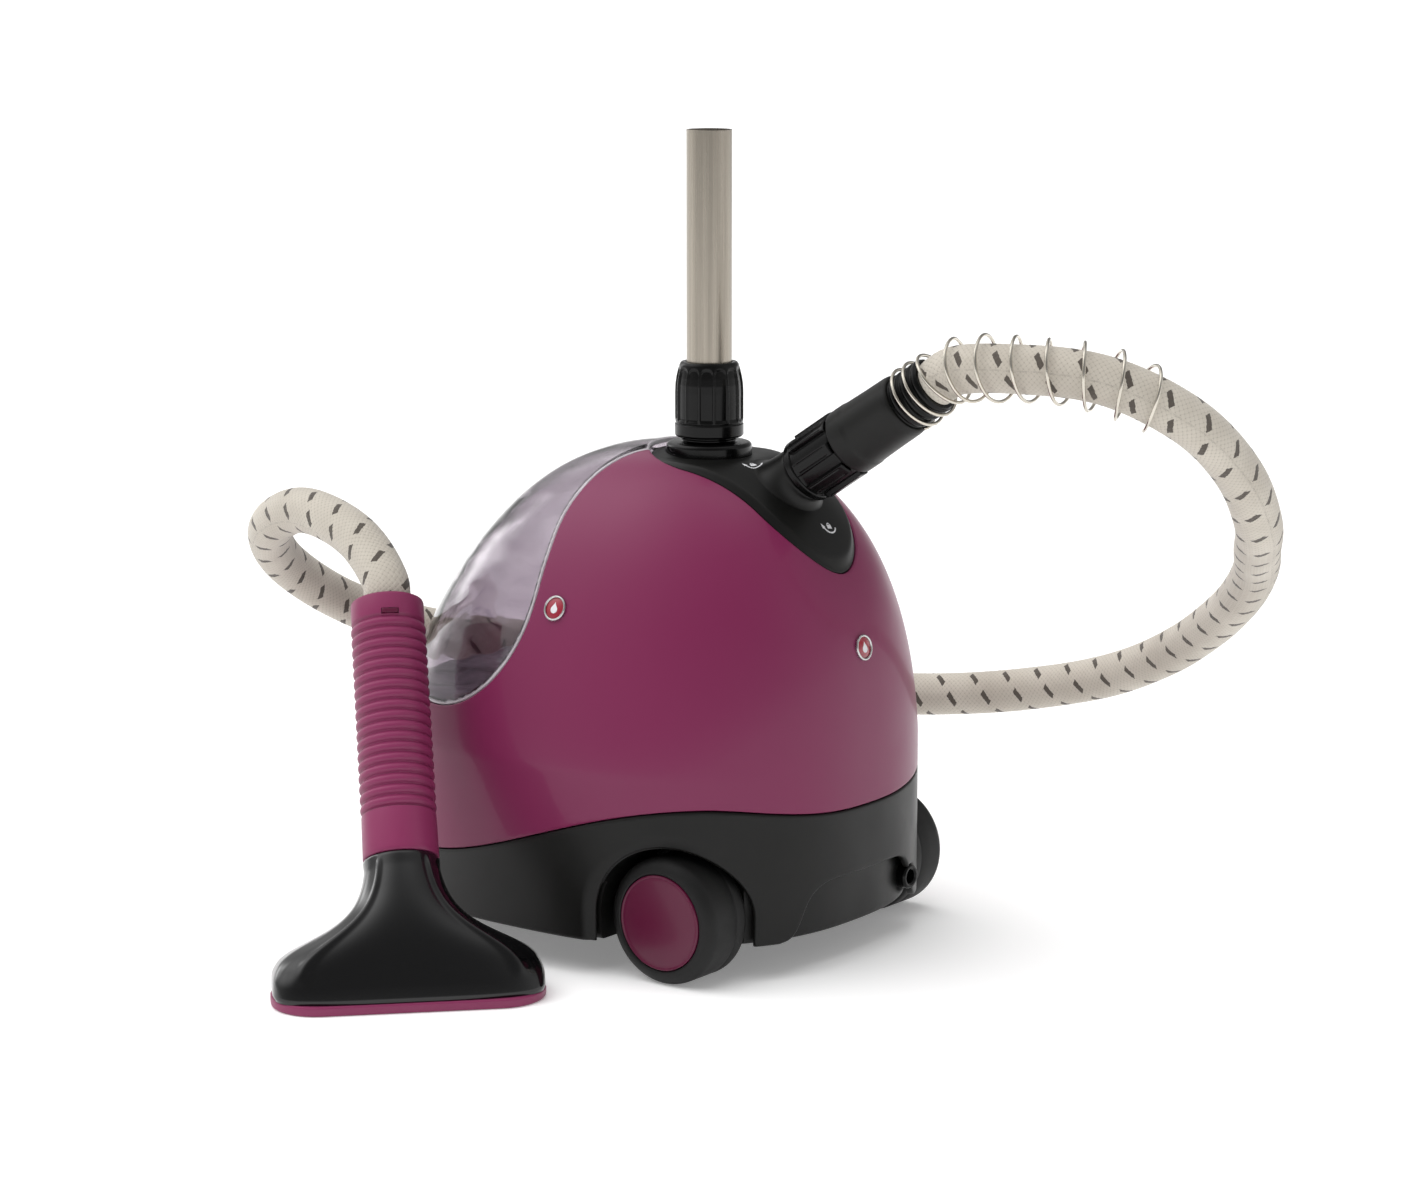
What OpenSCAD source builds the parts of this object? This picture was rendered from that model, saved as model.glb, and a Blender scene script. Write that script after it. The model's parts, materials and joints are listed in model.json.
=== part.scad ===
// Upright garment steamer: a domed machine body on two large rear wheels and two front casters,
// a lift-off water tank, a pole in a clamped socket, and a steam head on an insulated hose.
// Lengths are millimetres. +Z is up, the tank is at -Y, the hose leaves at +Y, the floor is z = 0.

/* [Body] */
// Half of the body's width at its widest
body_half_w = 126; // [122:1:130]
// Reach of the body forward of its widest line
body_front = 152; // [148:1:156]
// Reach of the body behind its widest line
body_rear = 145; // [142:1:148]
// Height of the crown of the dome above the floor
body_top = 280; // [276:1:284]
// Height of the underside of the base above the floor
base_bottom = 20; // [18:1:22]
// Wall thickness of the moulded shells
wall = 3; // [2.5:0.1:3.4]

/* [Pole] */
// Outer diameter of the pole
pole_d = 25.4; // [25:0.1:25.6]
// Height of the pole's open top end above the floor
pole_top = 454; // [400:1:1500]

/* [Hose] */
// Outer diameter of the braided hose
hose_d = 26; // [22:1:28]
// Rise of the hose connector above the horizontal, in degrees
connector_rise = 33; // [31:1:35]

/* [Wheels] */
// Radius of the large rear wheels
wheel_r = 35; // [33:0.5:36]
// Width of the rear tyres
wheel_w = 34; // [30:1:34]
// Radius of the small front caster wheels
caster_r = 11; // [10:0.5:11.5]

/* [Steam head] */
// Length of the face plate
plate_l = 147; // [140:1:152]
// Width of the face plate
plate_w = 57.5; // [54:0.5:60]
// Backward lean of the handle, in degrees
handle_lean = 31.5; // [28:0.5:33]
// Length of the handle
handle_l = 149.6; // [140:0.1:155]

/* [Hidden] */
$fn = 64;

// Middle of the machine's footprint, measured from the pole's axis; the model's origin sits there
origin_x = 74.2;
origin_y = -12.2;

plum = [0.48, 0.20, 0.36];
plum_dark = [0.36, 0.12, 0.26];
soot = [0.13, 0.13, 0.14];
gloss_black = [0.06, 0.06, 0.07];
satin_metal = [0.74, 0.72, 0.68];
bright_steel = [0.80, 0.80, 0.80];
smoke = [0.62, 0.58, 0.64, 0.45];
braid = [0.88, 0.87, 0.84];
cast_alloy = [0.66, 0.66, 0.68];
silicone = [0.85, 0.80, 0.75];

// --- The body's outer form -------------------------------------------------------------------

body_centre_y = -35;  // the widest line, measured from the pole
crown_shift = 19;     // how far the crown sits behind the widest line
dome_start = 113;     // the wall is upright below this height
plan_power = 2 / 2.5; // squareness of the plan outline
seg = 56;             // sides of each level of the body
dome_levels = 13;     // levels of the dome
gap = 0.4;            // reveal between neighbouring mouldings
far = 400;            // reaches past everything

function signed_power(v, p) = sign(v) * pow(abs(v), p);
function shoulder(t, inner, outer) = pow(1 - pow(t, inner), 1 / outer);
function dome_height(z, inset) =
    min(max((z - dome_start) / (body_top - inset - dome_start), 0), 0.9996);
function half_width(z, inset = 0) =
    (body_half_w - inset) * shoulder(dome_height(z, inset), 1.2, 2.75);
function front_reach(z, inset = 0) =
    (body_front - inset) * shoulder(dome_height(z, inset), 1.16, 2.7);
function rear_reach(z, inset = 0) =
    (body_rear - inset) * shoulder(dome_height(z, inset), 2.3, 2.1);
function centre_y(z, inset = 0) = body_centre_y + crown_shift * pow(dome_height(z, inset), 2);
function plan_point(a, z, inset) = [
    half_width(z, inset) * signed_power(cos(a), plan_power),
    centre_y(z, inset)
        + (sin(a) > 0 ? rear_reach(z, inset) : front_reach(z, inset)) * signed_power(sin(a), plan_power)
];
function plan(z, inset = 0) = [for (i = [0 : seg - 1]) plan_point(360 * (i + 0.5) / seg, z, inset)];

// Rings of equal length, lowest first, closed into one solid
module loft(rings) {
    n = len(rings[0]);
    m = len(rings);
    points = [for (ring = rings) for (p = ring) p];
    sides = [for (j = [0 : m - 2]) for (i = [0 : n - 1])
        [j * n + i, (j + 1) * n + i, (j + 1) * n + (i + 1) % n, j * n + (i + 1) % n]];
    polyhedron(points, concat([[for (i = [0 : n - 1]) i]], sides,
        [[for (i = [n - 1 : -1 : 0]) (m - 1) * n + i]]), convexity = 10);
}

// The body's full form above the height z_from, drawn in from its surface by inset
module dome(inset, z_from) {
    rise = body_top - inset - dome_start;
    heights = concat([z_from], [for (k = [0 : dome_levels]) dome_start + rise * sin(90 * k / dome_levels)]);
    loft([for (z = heights) [for (p = plan(z, inset)) [p[0], p[1], z]]]);
}

// An upright prism of the body's plan below the dome
module plan_prism(inset, z_low, z_high) {
    translate([0, 0, z_low]) linear_extrude(z_high - z_low) polygon(plan(dome_start, inset));
}

// Sends a freeform shell through as one mesh
module freeform() { resize([0, 0, 0]) children(); }

// Turns a [y, z] outline into a bar that runs across the machine
module across(width = 2 * far) {
    rotate([90, 0, 90]) linear_extrude(width, center = true) children();
}

module tube(r_out, r_in, h) {
    difference() {
        cylinder(r = r_out, h = h);
        translate([0, 0, -1]) cylinder(r = r_in, h = h + 2);
    }
}

module place() { translate([-origin_x, -origin_y, 0]) children(); }

// --- Lines where the mouldings meet ----------------------------------------------------------

function smooth(f) = let (c = min(max(f, 0), 1)) c * c * (3 - 2 * c);
// Height of the wavy line between the plum body and the black base
function seam_height(y) = 53 + 44 * smooth((y + 125) / 200) - 9 * pow(max(0, (y - 70) / 40), 2);
seam_steps = [for (y = [-195 : 13 : 130]) y];

module below_seam(shift) {
    across() polygon(concat(
        [for (y = seam_steps) [y, seam_height(y) + shift]], [[130, -10], [-195, -10]]));
}

tank_floor_z = 135.5; // where the tank's underside meets the bay
// Side outline of the space that the tank fills, drawn in by g
function tank_side(g) = concat(
    [[-19, 330]],
    [for (a = [90 : 10 : 180]) [-19 + (25 + g) * cos(a), 236 + (41.5 + g) * sin(a)]],
    [for (a = [0 : -10 : -90]) [-109 + (65 - g) * cos(a), 203 + (67.5 - g) * sin(a)]],
    [[-230, tank_floor_z + g], [-230, 330]]);

module tank_space(g) { across() polygon(tank_side(g)); }

// Plan outline of the saddle: two round ends, the larger under the pole
saddle_front = [8, 40];
saddle_rear = [56, 36.5];
module saddle_column(grow, z_low = 150, z_high = 330) {
    translate([0, 0, z_low]) linear_extrude(z_high - z_low) hull() {
        translate([0, saddle_front[0]]) circle(saddle_front[1] + grow, $fn = 56);
        translate([0, saddle_rear[0]]) circle(saddle_rear[1] + grow, $fn = 56);
    }
}

// --- Wheels and their places -----------------------------------------------------------------

wheel_y = 51.5;
wheel_face_x = 114; // outer face of the tyre
axle_r = 4;
well_r = 38.5;
well_x = 78;        // inner wall of the wheel wells
well_top = 36.5;    // centre height of the well's round top
caster_place = [62, -125];
caster_pocket_r = 22;
caster_pocket_top = 37;
caster_trail = 7;

module wheel_well(grow, x_in) {
    for (side = [-1, 1]) translate([side * (x_in + far / 2), wheel_y, 0]) {
        translate([0, 0, well_top]) rotate([0, 90, 0]) cylinder(r = well_r + grow, h = far, center = true);
        translate([0, 0, well_top / 2 - 10])
            cube([far, 2 * (well_r + grow), well_top + 20], center = true);
    }
}

module at_casters() { for (side = [-1, 1]) translate([side * caster_place[0], caster_place[1], 0]) children(); }

// --- Base ------------------------------------------------------------------------------------

tub_floor = 3.5;
tub_inset = 7;          // how far the tub stands behind the skirt at the rear recess
recess_top = 51;
gland_place = [-53, 97, 34];
gland_r = 7;
base_screw_places = [[88, -60], [-88, -60], [40, 20], [-40, 20]];

// Rear recess, seen from behind: a low arch between the two rear legs
module rear_recess() {
    difference() {
        translate([0, far / 2 + 60, 0]) rotate([90, 0, 0]) linear_extrude(far, center = true)
            polygon([[-62, -5], [-58, 28], [-50, 42], [-34, recess_top], [34, recess_top],
                     [50, 42], [58, 28], [62, -5]]);
        plan_prism(tub_inset, -10, recess_top + 10);
    }
}

module base_shell() {
    color(soot) place() difference() {
        union() {
            difference() {
                plan_prism(0, base_bottom, 110);
                plan_prism(tub_inset + wall, base_bottom + tub_floor, recess_top + 3);
                plan_prism(wall, recess_top + 3, 120);
                rear_recess();
            }
            intersection() {
                plan_prism(0.5, base_bottom, 80);
                wheel_well(wall, well_x - wall);
            }
            at_casters() {
                translate([0, 0, base_bottom]) cylinder(r = caster_pocket_r + 2.5, h = caster_pocket_top + 3 - base_bottom);
                translate([0, 0, caster_pocket_top]) cylinder(r = 9, h = 20);
            }
        }
        wheel_well(0, well_x);
        at_casters() {
            translate([0, 0, -1]) cylinder(r = caster_pocket_r, h = caster_pocket_top + 1);
            cylinder(r = 4.05, h = 70);
        }
        difference() {
            translate([0, 0, -10]) plan_prism(-20, 0, 200);
            below_seam(-gap / 2);
        }
        translate([0, wheel_y, wheel_r]) rotate([0, 90, 0]) cylinder(r = axle_r + 1, h = 2 * far, center = true);
        for (p = base_screw_places) translate([p[0], p[1], 0]) {
            cylinder(r = 4.3, h = base_bottom + 1.6);
            cylinder(r = 2.1, h = 60);
        }
        translate(gland_place - [0, 25, 0]) rotate([-90, 0, 0]) cylinder(r = gland_r + 0.1, h = 100);
    }
}

module base_screws() {
    color(bright_steel) place() for (p = base_screw_places) translate([p[0], p[1], base_bottom]) {
        difference() {
            cylinder(r = 4, h = 1.5);
            translate([0, 0, -0.1]) cylinder(r = 1.6, h = 0.9, $fn = 6);
        }
        cylinder(r = 2, h = 14);
    }
}

// --- Body shell and what is let into it ------------------------------------------------------

button_z = 92;
button_y = -188.5;
lens_z = 116;
bezel_r = 17;
lip_depth = 2.4; // step under the saddle's edge that the body shell rests on

module body_shell() {
    color(plum) place() freeform() difference() {
        dome(0, 40);
        dome(wall, 30);
        below_seam(gap / 2);
        tank_space(0);
        saddle_column(gap / 2);
        translate([0, button_y - 5, button_z]) rotate([-90, 0, 0]) cylinder(r = bezel_r, h = 40);
        translate([0, button_y - 5, lens_z]) rotate([-90, 0, 0]) cylinder(r = 3.3, h = 40, $fn = 24);
    }
}

// Shelf and rear wall that the tank drops into
valve_place = [0, -112];
module tank_bay() {
    color(soot) place() freeform() difference() {
        intersection() {
            dome(wall + gap, 60);
            tank_space(-2.8);
        }
        tank_space(-0.2);
        saddle_column(4, 100);
        translate([valve_place[0], valve_place[1], 100]) cylinder(r = 20.2, h = 60);
    }
}

module valve_seat() {
    color(soot) place() translate([valve_place[0], valve_place[1], 0]) {
        difference() {
            translate([0, 0, 112]) cylinder(r = 20, h = 23);
            translate([0, 0, 115]) cylinder(r = 17.6, h = 30);
            translate([0, 0, 100]) cylinder(r = 3.4, h = 30);
        }
        translate([0, 0, 104]) tube(5, 3.4, 8);
    }
}

// --- Saddle, pole socket and pole ------------------------------------------------------------

boss_r = 24;
boss_top = 280.5;
neck_r = 15.1;
pole_foot = 228;
pole_r = pole_d / 2;
pole_wall = 1;
spigot_r = 14.92;
barb_reach = 42; // how far the hose spigot's barb reaches inside, along the connector's axis

connector_start = [0, 66.6, 269.2]; // where the nut's lower end crosses the connector's axis
module on_connector(s = 0) {
    translate(connector_start) rotate([-(90 - connector_rise), 0, 0]) translate([0, 0, s]) children();
}

module top_saddle() {
    color(soot) place() freeform() difference() {
        union() {
            intersection() {
                saddle_column(-gap / 2);
                difference() {
                    dome(0, 150);
                    dome(wall + gap + lip_depth, 140);
                }
            }
            intersection() {
                saddle_column(4);
                difference() {
                    dome(wall + gap, 150);
                    dome(wall + gap + lip_depth, 140);
                    tank_space(-2);
                }
            }
            intersection() {
                hull() {
                    on_connector(-3) cylinder(r = 16.2, h = 1, $fn = 40);
                    on_connector(-9) cylinder(r = 17.5, h = 1, $fn = 40);
                    on_connector(-26) scale([1.15, 1, 1]) cylinder(r = 23, h = 1, $fn = 40);
                }
                saddle_column(-1);
            }
        }
        translate([0, 0, 200]) cylinder(r = boss_r + 0.2, h = 200);
        on_connector(-60) cylinder(r = spigot_r + 0.1, h = 90);
        on_connector(-90) cylinder(r = 16.9, h = 62);
    }
}

module pole_socket() {
    color(soot) place() difference() {
        union() {
            translate([0, 0, 222]) cylinder(r = 17, h = 50);
            rotate_extrude() polygon(concat([[0, 258], [boss_r, 258]],
                [for (a = [0 : 15 : 90]) [boss_r - 1.8 + 1.8 * cos(a), boss_top - 1.8 + 1.8 * sin(a)]],
                [[0, boss_top]]));
            translate([0, 0, boss_top - 1]) cylinder(r = neck_r, h = 19);
            for (i = [0 : 1]) translate([0, 0, boss_top + 0.6 + 1.6 * i]) cylinder(r = neck_r + 0.5, h = 0.8);
        }
        translate([0, 0, pole_foot - 0.5]) cylinder(r = pole_r + 0.06, h = 200);
        translate([0, 0, 200]) cylinder(r = 8, h = 60);
    }
}

module pole_tube() {
    color(satin_metal) place() translate([0, 0, pole_foot]) tube(pole_r, pole_r - pole_wall, pole_top - pole_foot);
}

// A ribbed nut: plain ring at its foot, rounded ribs, a draw-in at its top
module ribbed_nut(r, h, ring_h, top_r, ribs, groove_r) {
    shrink = r - top_r;
    difference() {
        rotate_extrude() polygon([[0, 0], [r - 0.6, 0], [r + 0.3, 0.8], [r + 0.3, ring_h - 0.6], [r, ring_h],
            [r, h * 0.66], [r - shrink * 0.35, h * 0.82], [top_r, h - 0.8], [top_r - 0.8, h], [0, h]]);
        for (i = [0 : ribs - 1]) rotate(360 * (i + 0.5) / ribs)
            translate([r + groove_r * 0.42, 0, ring_h + 1.5]) cylinder(r = groove_r, h = h, $fn = 24);
    }
}

nut_foot = 283.6;
nut_h = 42;
module pole_lock_nut() {
    color(soot) place() translate([0, 0, nut_foot]) difference() {
        ribbed_nut(19.0, nut_h, 7.6, 16.2, 12, 2.6);
        translate([0, 0, -1]) cylinder(r = neck_r + 0.6, h = 18.5);
        translate([0, 0, -1]) cylinder(r = pole_r + 0.3, h = 60);
    }
}

// --- Hose connector --------------------------------------------------------------------------

hose_nut_l = 33.5;
cuff_start = 34;
cuff_l = 45;
sleeve_l = 21;
sleeve_start = cuff_start + cuff_l;
hose_bore = 9;

module hose_spigot() {
    color(soot) place() difference() {
        union() {
            on_connector(-28.5) cylinder(r = spigot_r, h = 56.5);
            on_connector(-31.6) cylinder(r = 16.7, h = 3.5);
            on_connector(-barb_reach) cylinder(r = 6, h = 12);
        }
        on_connector(-28) cylinder(r = hose_bore, h = 100);
        on_connector(-60) cylinder(r = 4, h = 40);
    }
}

module hose_lock_nut() {
    color(soot) place() on_connector(0) difference() {
        ribbed_nut(18.5, hose_nut_l, 5.5, 17.2, 8, 3.4);
        translate([0, 0, -1]) cylinder(r = 15, h = 60);
    }
}

module hose_cuff() {
    color(soot) place() on_connector(cuff_start) difference() {
        rotate_extrude() polygon([[hose_bore, -5], [14.8, -5], [14.8, 0], [18.2, 0], [19, 1], [19, 9],
            [18.6, 10.5], [17.9, cuff_l - 3], [17.3, cuff_l - 0.6], [16.6, cuff_l], [hose_bore, cuff_l]]);
    }
}

// The cuff's thinner ridged end, round which the spring is wound
module hose_sleeve() {
    color(soot) place() on_connector(sleeve_start) rotate_extrude() polygon(concat(
        [[hose_bore, 0], [15.4, 0]],
        [for (i = [0 : 4]) for (p = [[14.9, 0.6], [15.8, 1.4], [15.8, 2.8], [14.9, 3.6]])
            [p[0], p[1] + 4.1 * i]],
        [[14.6, sleeve_l], [hose_bore, sleeve_l]]));
}

// Where the steam head stands, and which way its handle points
head_place = [212, -42];
head_yaw = -44;
neck_z = 65.5;   // height of the centre of the joint between nozzle and handle
neck_out = 20.8;
handle_r = 20.3;
plate_h = 5.5;
plate_corner = 26;
head_axis = [-sin(handle_lean) * sin(-head_yaw), -sin(handle_lean) * cos(head_yaw), cos(handle_lean)];
neck_back = neck_z * tan(handle_lean);
head_neck = [head_place[0] - neck_back * sin(-head_yaw), head_place[1] - neck_back * cos(head_yaw), neck_z];
head_top = head_neck + handle_l * head_axis;

// Route of the hose's centre line from the sleeve to the top of the handle
hose_route = [
    [0, 151, 324], [-1, 198, 335], [-16, 246, 331], [-44, 281, 309], [-82, 290, 278], [-120, 282, 246],
    [-161, 260, 224], [-203, 237, 204], [-238, 209, 180], [-266, 175, 155], [-286, 135, 130],
    [-295, 89, 109], [-287, 39, 96], [-267, -7, 90], [-244, -53, 89], [-223, -100, 93],
    [-198, -143, 102], [-162, -178, 113], [-119, -204, 123], [-74, -228, 131], [-32, -254, 142],
    [10, -276, 163], [51, -281, 191], [87, -256, 218], [106, -211, 235], [116, -161, 225],
    [130, -127, 193]
];
hose_sides = 10;

function unit(v) = v / norm(v);
function heading(path, i) = unit(path[min(i + 1, len(path) - 1)] - path[max(i - 1, 0)]);
// A direction square to t that leans as little as it can from the one before it
function carry(side, t) = unit(side - (side * t) * t);
function side_list(path, i = 0, previous = [1, 0, 0]) =
    let (side = carry(previous, heading(path, i)))
    i == len(path) - 1 ? [side] : concat([side], side_list(path, i + 1, side));
function ring_round(centre, side, t, r, n) =
    [for (k = [0 : n - 1]) centre + r * (cos(360 * k / n) * side + sin(360 * k / n) * cross(t, side))];

module swept_tube(path, r, n) {
    sides = side_list(path);
    loft([for (i = [0 : len(path) - 1]) ring_round(path[i], sides[i], heading(path, i), r, n)]);
}

connector_dir = [0, cos(connector_rise), sin(connector_rise)];
hose_start = connector_start + (sleeve_start + sleeve_l) * connector_dir;
// The drawn route, with its first point where the sleeve really ends and its last in the handle's mouth
hose_line = [for (i = [0 : len(hose_route) - 1])
    i == 0 ? hose_start : i == len(hose_route) - 1 ? head_top + 0.1 * head_axis : hose_route[i]];
hose_headings = [for (i = [0 : len(hose_line) - 1])
    i == 0 ? connector_dir : i == len(hose_line) - 1 ? -head_axis : heading(hose_line, i)];

function hose_sides_at(i = 0, previous = [1, 0, 0]) =
    let (side = carry(previous, hose_headings[i]))
    i == len(hose_line) - 1 ? [side] : concat([side], hose_sides_at(i + 1, side));

module hose() {
    sides = hose_sides_at();
    color(braid) place() loft([for (i = [0 : len(hose_line) - 1])
        ring_round(hose_line[i], sides[i], hose_headings[i], hose_d / 2, hose_sides)]);
}

// Wire spring that keeps the hose from kinking, whose turns open out from the sleeve to the hose
spring_r = 17.6;
spring_wire_r = 1;
spring_turns = 10;
opening_turns = 4;   // turns over which the pitch grows
close_pitch = 4.5;
open_pitch = 17.6;
spring_steps = 12;
spring_lead = 2.5;   // from the sleeve's foot to the first turn
spring_spine = concat([connector_start + (sleeve_start + spring_lead) * connector_dir], [for (i = [0 : 4]) hose_line[i]]);
spine_lengths = [for (i = [0 : len(spring_spine) - 2]) norm(spring_spine[i + 1] - spring_spine[i])];
function curve_at(p0, p1, p2, p3, f) = 0.5 * (2 * p1 + (p2 - p0) * f
    + (2 * p0 - 5 * p1 + 4 * p2 - p3) * f * f + (3 * p1 - p0 - 3 * p2 + p3) * f * f * f);
// Point on the spine at a distance along it
function spine_at(d, i = 0) =
    d <= spine_lengths[i] || i == len(spine_lengths) - 1
        ? curve_at(spring_spine[max(i - 1, 0)], spring_spine[i], spring_spine[i + 1],
                   spring_spine[min(i + 2, len(spring_spine) - 1)], d / spine_lengths[i])
        : spine_at(d - spine_lengths[i], i + 1);
function spring_travel(turn) = turn < opening_turns
    ? close_pitch * turn + (open_pitch - close_pitch) / (2 * opening_turns) * turn * turn
    : (close_pitch + open_pitch) / 2 * opening_turns + open_pitch * (turn - opening_turns);

module strain_spring() {
    n = spring_turns * spring_steps;
    points = [for (i = [0 : n]) let (
            d = spring_travel(i / spring_steps),
            c = spine_at(d),
            t = unit(spine_at(d + 1) - c),
            across_dir = unit(cross(t, [0, 0, 1])),
            a = -90 - 360 * i / spring_steps)
        c + spring_r * (cos(a) * across_dir + sin(a) * cross(across_dir, t))];
    color(bright_steel) place() swept_tube(points, spring_wire_r, 5);
}

// --- Steam head ------------------------------------------------------------------------------

module on_head() { translate([head_place[0], head_place[1], 0]) rotate(head_yaw) children(); }
// From the neck up along the handle
module on_handle(h = 0) {
    on_head() translate([0, -neck_back, neck_z]) rotate([handle_lean, 0, 0]) translate([0, 0, h]) children();
}

module rounded_bar(l, w, r, h) {
    linear_extrude(h) union() {
        square([l - 2 * r, w], center = true);
        square([l, w - 2 * r], center = true);
        for (x = [-1, 1]) for (y = [-1, 1]) translate([x * (l / 2 - r), y * (w / 2 - r)]) circle(r);
    }
}

module face_plate() {
    color(plum) place() on_head() difference() {
        rounded_bar(plate_l, plate_w, plate_corner, plate_h);
        translate([0, 0, 1.2]) rounded_bar(plate_l - 8, plate_w - 8, plate_corner - 4, plate_h);
        translate([0, 0, -1]) rounded_bar(plate_l - 26, plate_w - 24, 16, plate_h);
    }
}

module steam_plate() {
    color(satin_metal) place() on_head() difference() {
        translate([0, 0, 1.3]) rounded_bar(plate_l - 8.4, plate_w - 8.4, plate_corner - 4.2, 2);
        for (i = [-4 : 4]) for (j = [-1, 1]) translate([i * 12, j * 8, 0]) cylinder(r = 1.8, h = 6);
    }
}

// Half length and half width of the nozzle at a share u of the way from face plate to neck
function flare(u) = 1 / (1 + pow(max(u, 0) / 0.48, 4.6)) - 0.033 * u;
function nozzle_half_l(u) = neck_out + (plate_l / 2 - 0.6 - neck_out) * flare(u);
function nozzle_half_w(u) = neck_out + (plate_w / 2 - 0.6 - neck_out) * (1 - smooth(u));
function nozzle_power(u) = 2 / (2 + 2.2 * (1 - smooth(u * 1.3)));
function waist(u) = 0.06 * sin(180 * min(max((u - 0.08) / 0.9, 0), 1));
nozzle_rings = 13;
nozzle_seg = 40;
function nozzle_ring(u, inset) = let (
        lean = handle_lean * smooth(u),
        z0 = plate_h + 0.1 + (neck_z - plate_h - 0.1) * u,
        y0 = -neck_back * u * (0.35 + 0.65 * u),
        l = nozzle_half_l(u) - inset,
        w = nozzle_half_w(u) - inset)
    [for (i = [0 : nozzle_seg - 1]) let (
            a = 360 * (i + 0.5) / nozzle_seg,
            pinch = 1 - waist(u) * pow(max(0, 1 - pow(sin(a) / 0.62, 2)), 1.5),
            x = l * pinch * signed_power(cos(a), nozzle_power(u)),
            y = w * signed_power(sin(a), nozzle_power(u)))
        [x, y0 + y * cos(lean), z0 + y * sin(lean)]];

module nozzle_form(inset, low = 0) {
    steps = concat([low], [for (k = [1 : nozzle_rings]) k / nozzle_rings]);
    loft([for (u = steps) nozzle_ring(u, inset)]);
}

module nozzle_shell() {
    color(gloss_black) place() on_head() freeform() difference() {
        nozzle_form(0);
        difference() {
            nozzle_form(2.4, -0.03);
            translate([0, 0, 200 + neck_z - 4]) cube(400, center = true);
        }
        translate([0, -neck_back, neck_z]) rotate([handle_lean, 0, 0]) translate([0, 0, -22]) cylinder(r = 15, h = 40);
        for (side = [-1, 1]) translate([side * 30, 0, 20]) rotate([90, 0, 0]) cylinder(r = 2.1, h = 80, $fn = 20);
    }
}

module nozzle_screws() {
    color(bright_steel) place() on_head() for (side = [-1, 1])
        translate([side * 30, -18, 20]) rotate([90, 0, 0]) cylinder(r = 2, h = 12);
}

// Handle: a plain foot, then rounded rings, then a plain collar
ring_count = 18;
ring_pitch = 109.5 / ring_count;
ring_first = 25;
latch_h = 136.3;
function ring_profile(n) = [for (i = [0 : n - 1])
    for (p = [[-0.9, 0], [0.2, 0.7], [0.7, 2], [0.7, 3.5], [0.2, 4.8], [-0.9, 5.5]])
        [handle_r + p[0], ring_first + ring_pitch * i + p[1]]];

module handle_grip() {
    color(plum) place() on_handle() difference() {
        rotate_extrude() polygon(concat([[16.5, 0.2], [neck_out, 0.2], [handle_r + 0.2, ring_first - 0.5]],
            ring_profile(ring_count),
            [[handle_r + 0.1, ring_first + ring_count * ring_pitch + 0.4], [handle_r + 0.1, handle_l - 1.2],
             [handle_r - 1.1, handle_l], [15.56, handle_l], [15.56, handle_l - 34], [16.5, handle_l - 35]]));
        translate([-4.8, 16.8, latch_h]) cube([9.6, 10, 3.2]);
    }
}

module handle_latch() {
    color(plum_dark) place() on_handle() translate([-4.5, 18.2, latch_h + 0.3]) cube([9, 2.6, 2.6]);
}

module handle_core() {
    color(gloss_black) place() difference() {
        union() {
            on_handle(-18) cylinder(r = 12.5, h = handle_l - 20);
            on_handle(-14) cylinder(r = 14.95, h = 4);
            for (h = [3, 100]) on_handle(h) cylinder(r = 16.45, h = 3);
        }
        on_handle(-30) cylinder(r = hose_bore, h = 200);
    }
}

module hose_end_bush() {
    color(gloss_black) place() on_handle(handle_l - 30) tube(15.5, hose_bore, 30);
}

// --- Tank ------------------------------------------------------------------------------------

tank_wall = 2.6;
module tank() {
    color(smoke) place() freeform() difference() {
        union() {
            difference() {
                intersection() {
                    dome(0, 60);
                    tank_space(gap);
                }
                saddle_column(gap);
            }
            translate([valve_place[0], valve_place[1], 124]) cylinder(r = 13, h = 14, $fn = 40);
        }
        difference() {
            intersection() {
                dome(tank_wall, 60);
                tank_space(gap + tank_wall);
            }
            saddle_column(gap + tank_wall);
        }
        translate([valve_place[0], valve_place[1], 120]) cylinder(r = 10.5, h = 24, $fn = 40);
    }
}

module tank_cap() {
    color(soot) place() translate([valve_place[0], valve_place[1], 119]) difference() {
        cylinder(r = 16.4, h = 15);
        translate([0, 0, 4.5]) cylinder(r = 13.2, h = 30);
        translate([0, 0, -1]) cylinder(r = 3.6, h = 30);
    }
}

module tank_valve() {
    color(silicone) place() translate([valve_place[0], valve_place[1], 0]) {
        translate([0, 0, 117.6]) cylinder(r = 3, h = 14);
        translate([0, 0, 124]) cylinder(r = 8, h = 3);
    }
}

// --- Boiler and its plumbing -----------------------------------------------------------------

boiler_place = [0, -10];
boiler_r = 52;
boiler_low = 36;
boiler_high = 78;
// Moulded elbow that turns the steam tube into the hose spigot's barb
steam_bend = 12;
elbow_end = connector_start - (barb_reach - 1) * connector_dir;
elbow_turn = 90 - connector_rise;
elbow_foot = elbow_end - steam_bend * [0, 1 - cos(elbow_turn), sin(elbow_turn)];
outlet_y = elbow_foot[1] - boiler_place[1];

module at_boiler() { translate([boiler_place[0], boiler_place[1], 0]) children(); }
module round_boiler(n, r, turn = 0) {
    for (i = [0 : n - 1]) rotate(turn + 360 * i / n) translate([r, 0, 0]) children();
}

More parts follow.
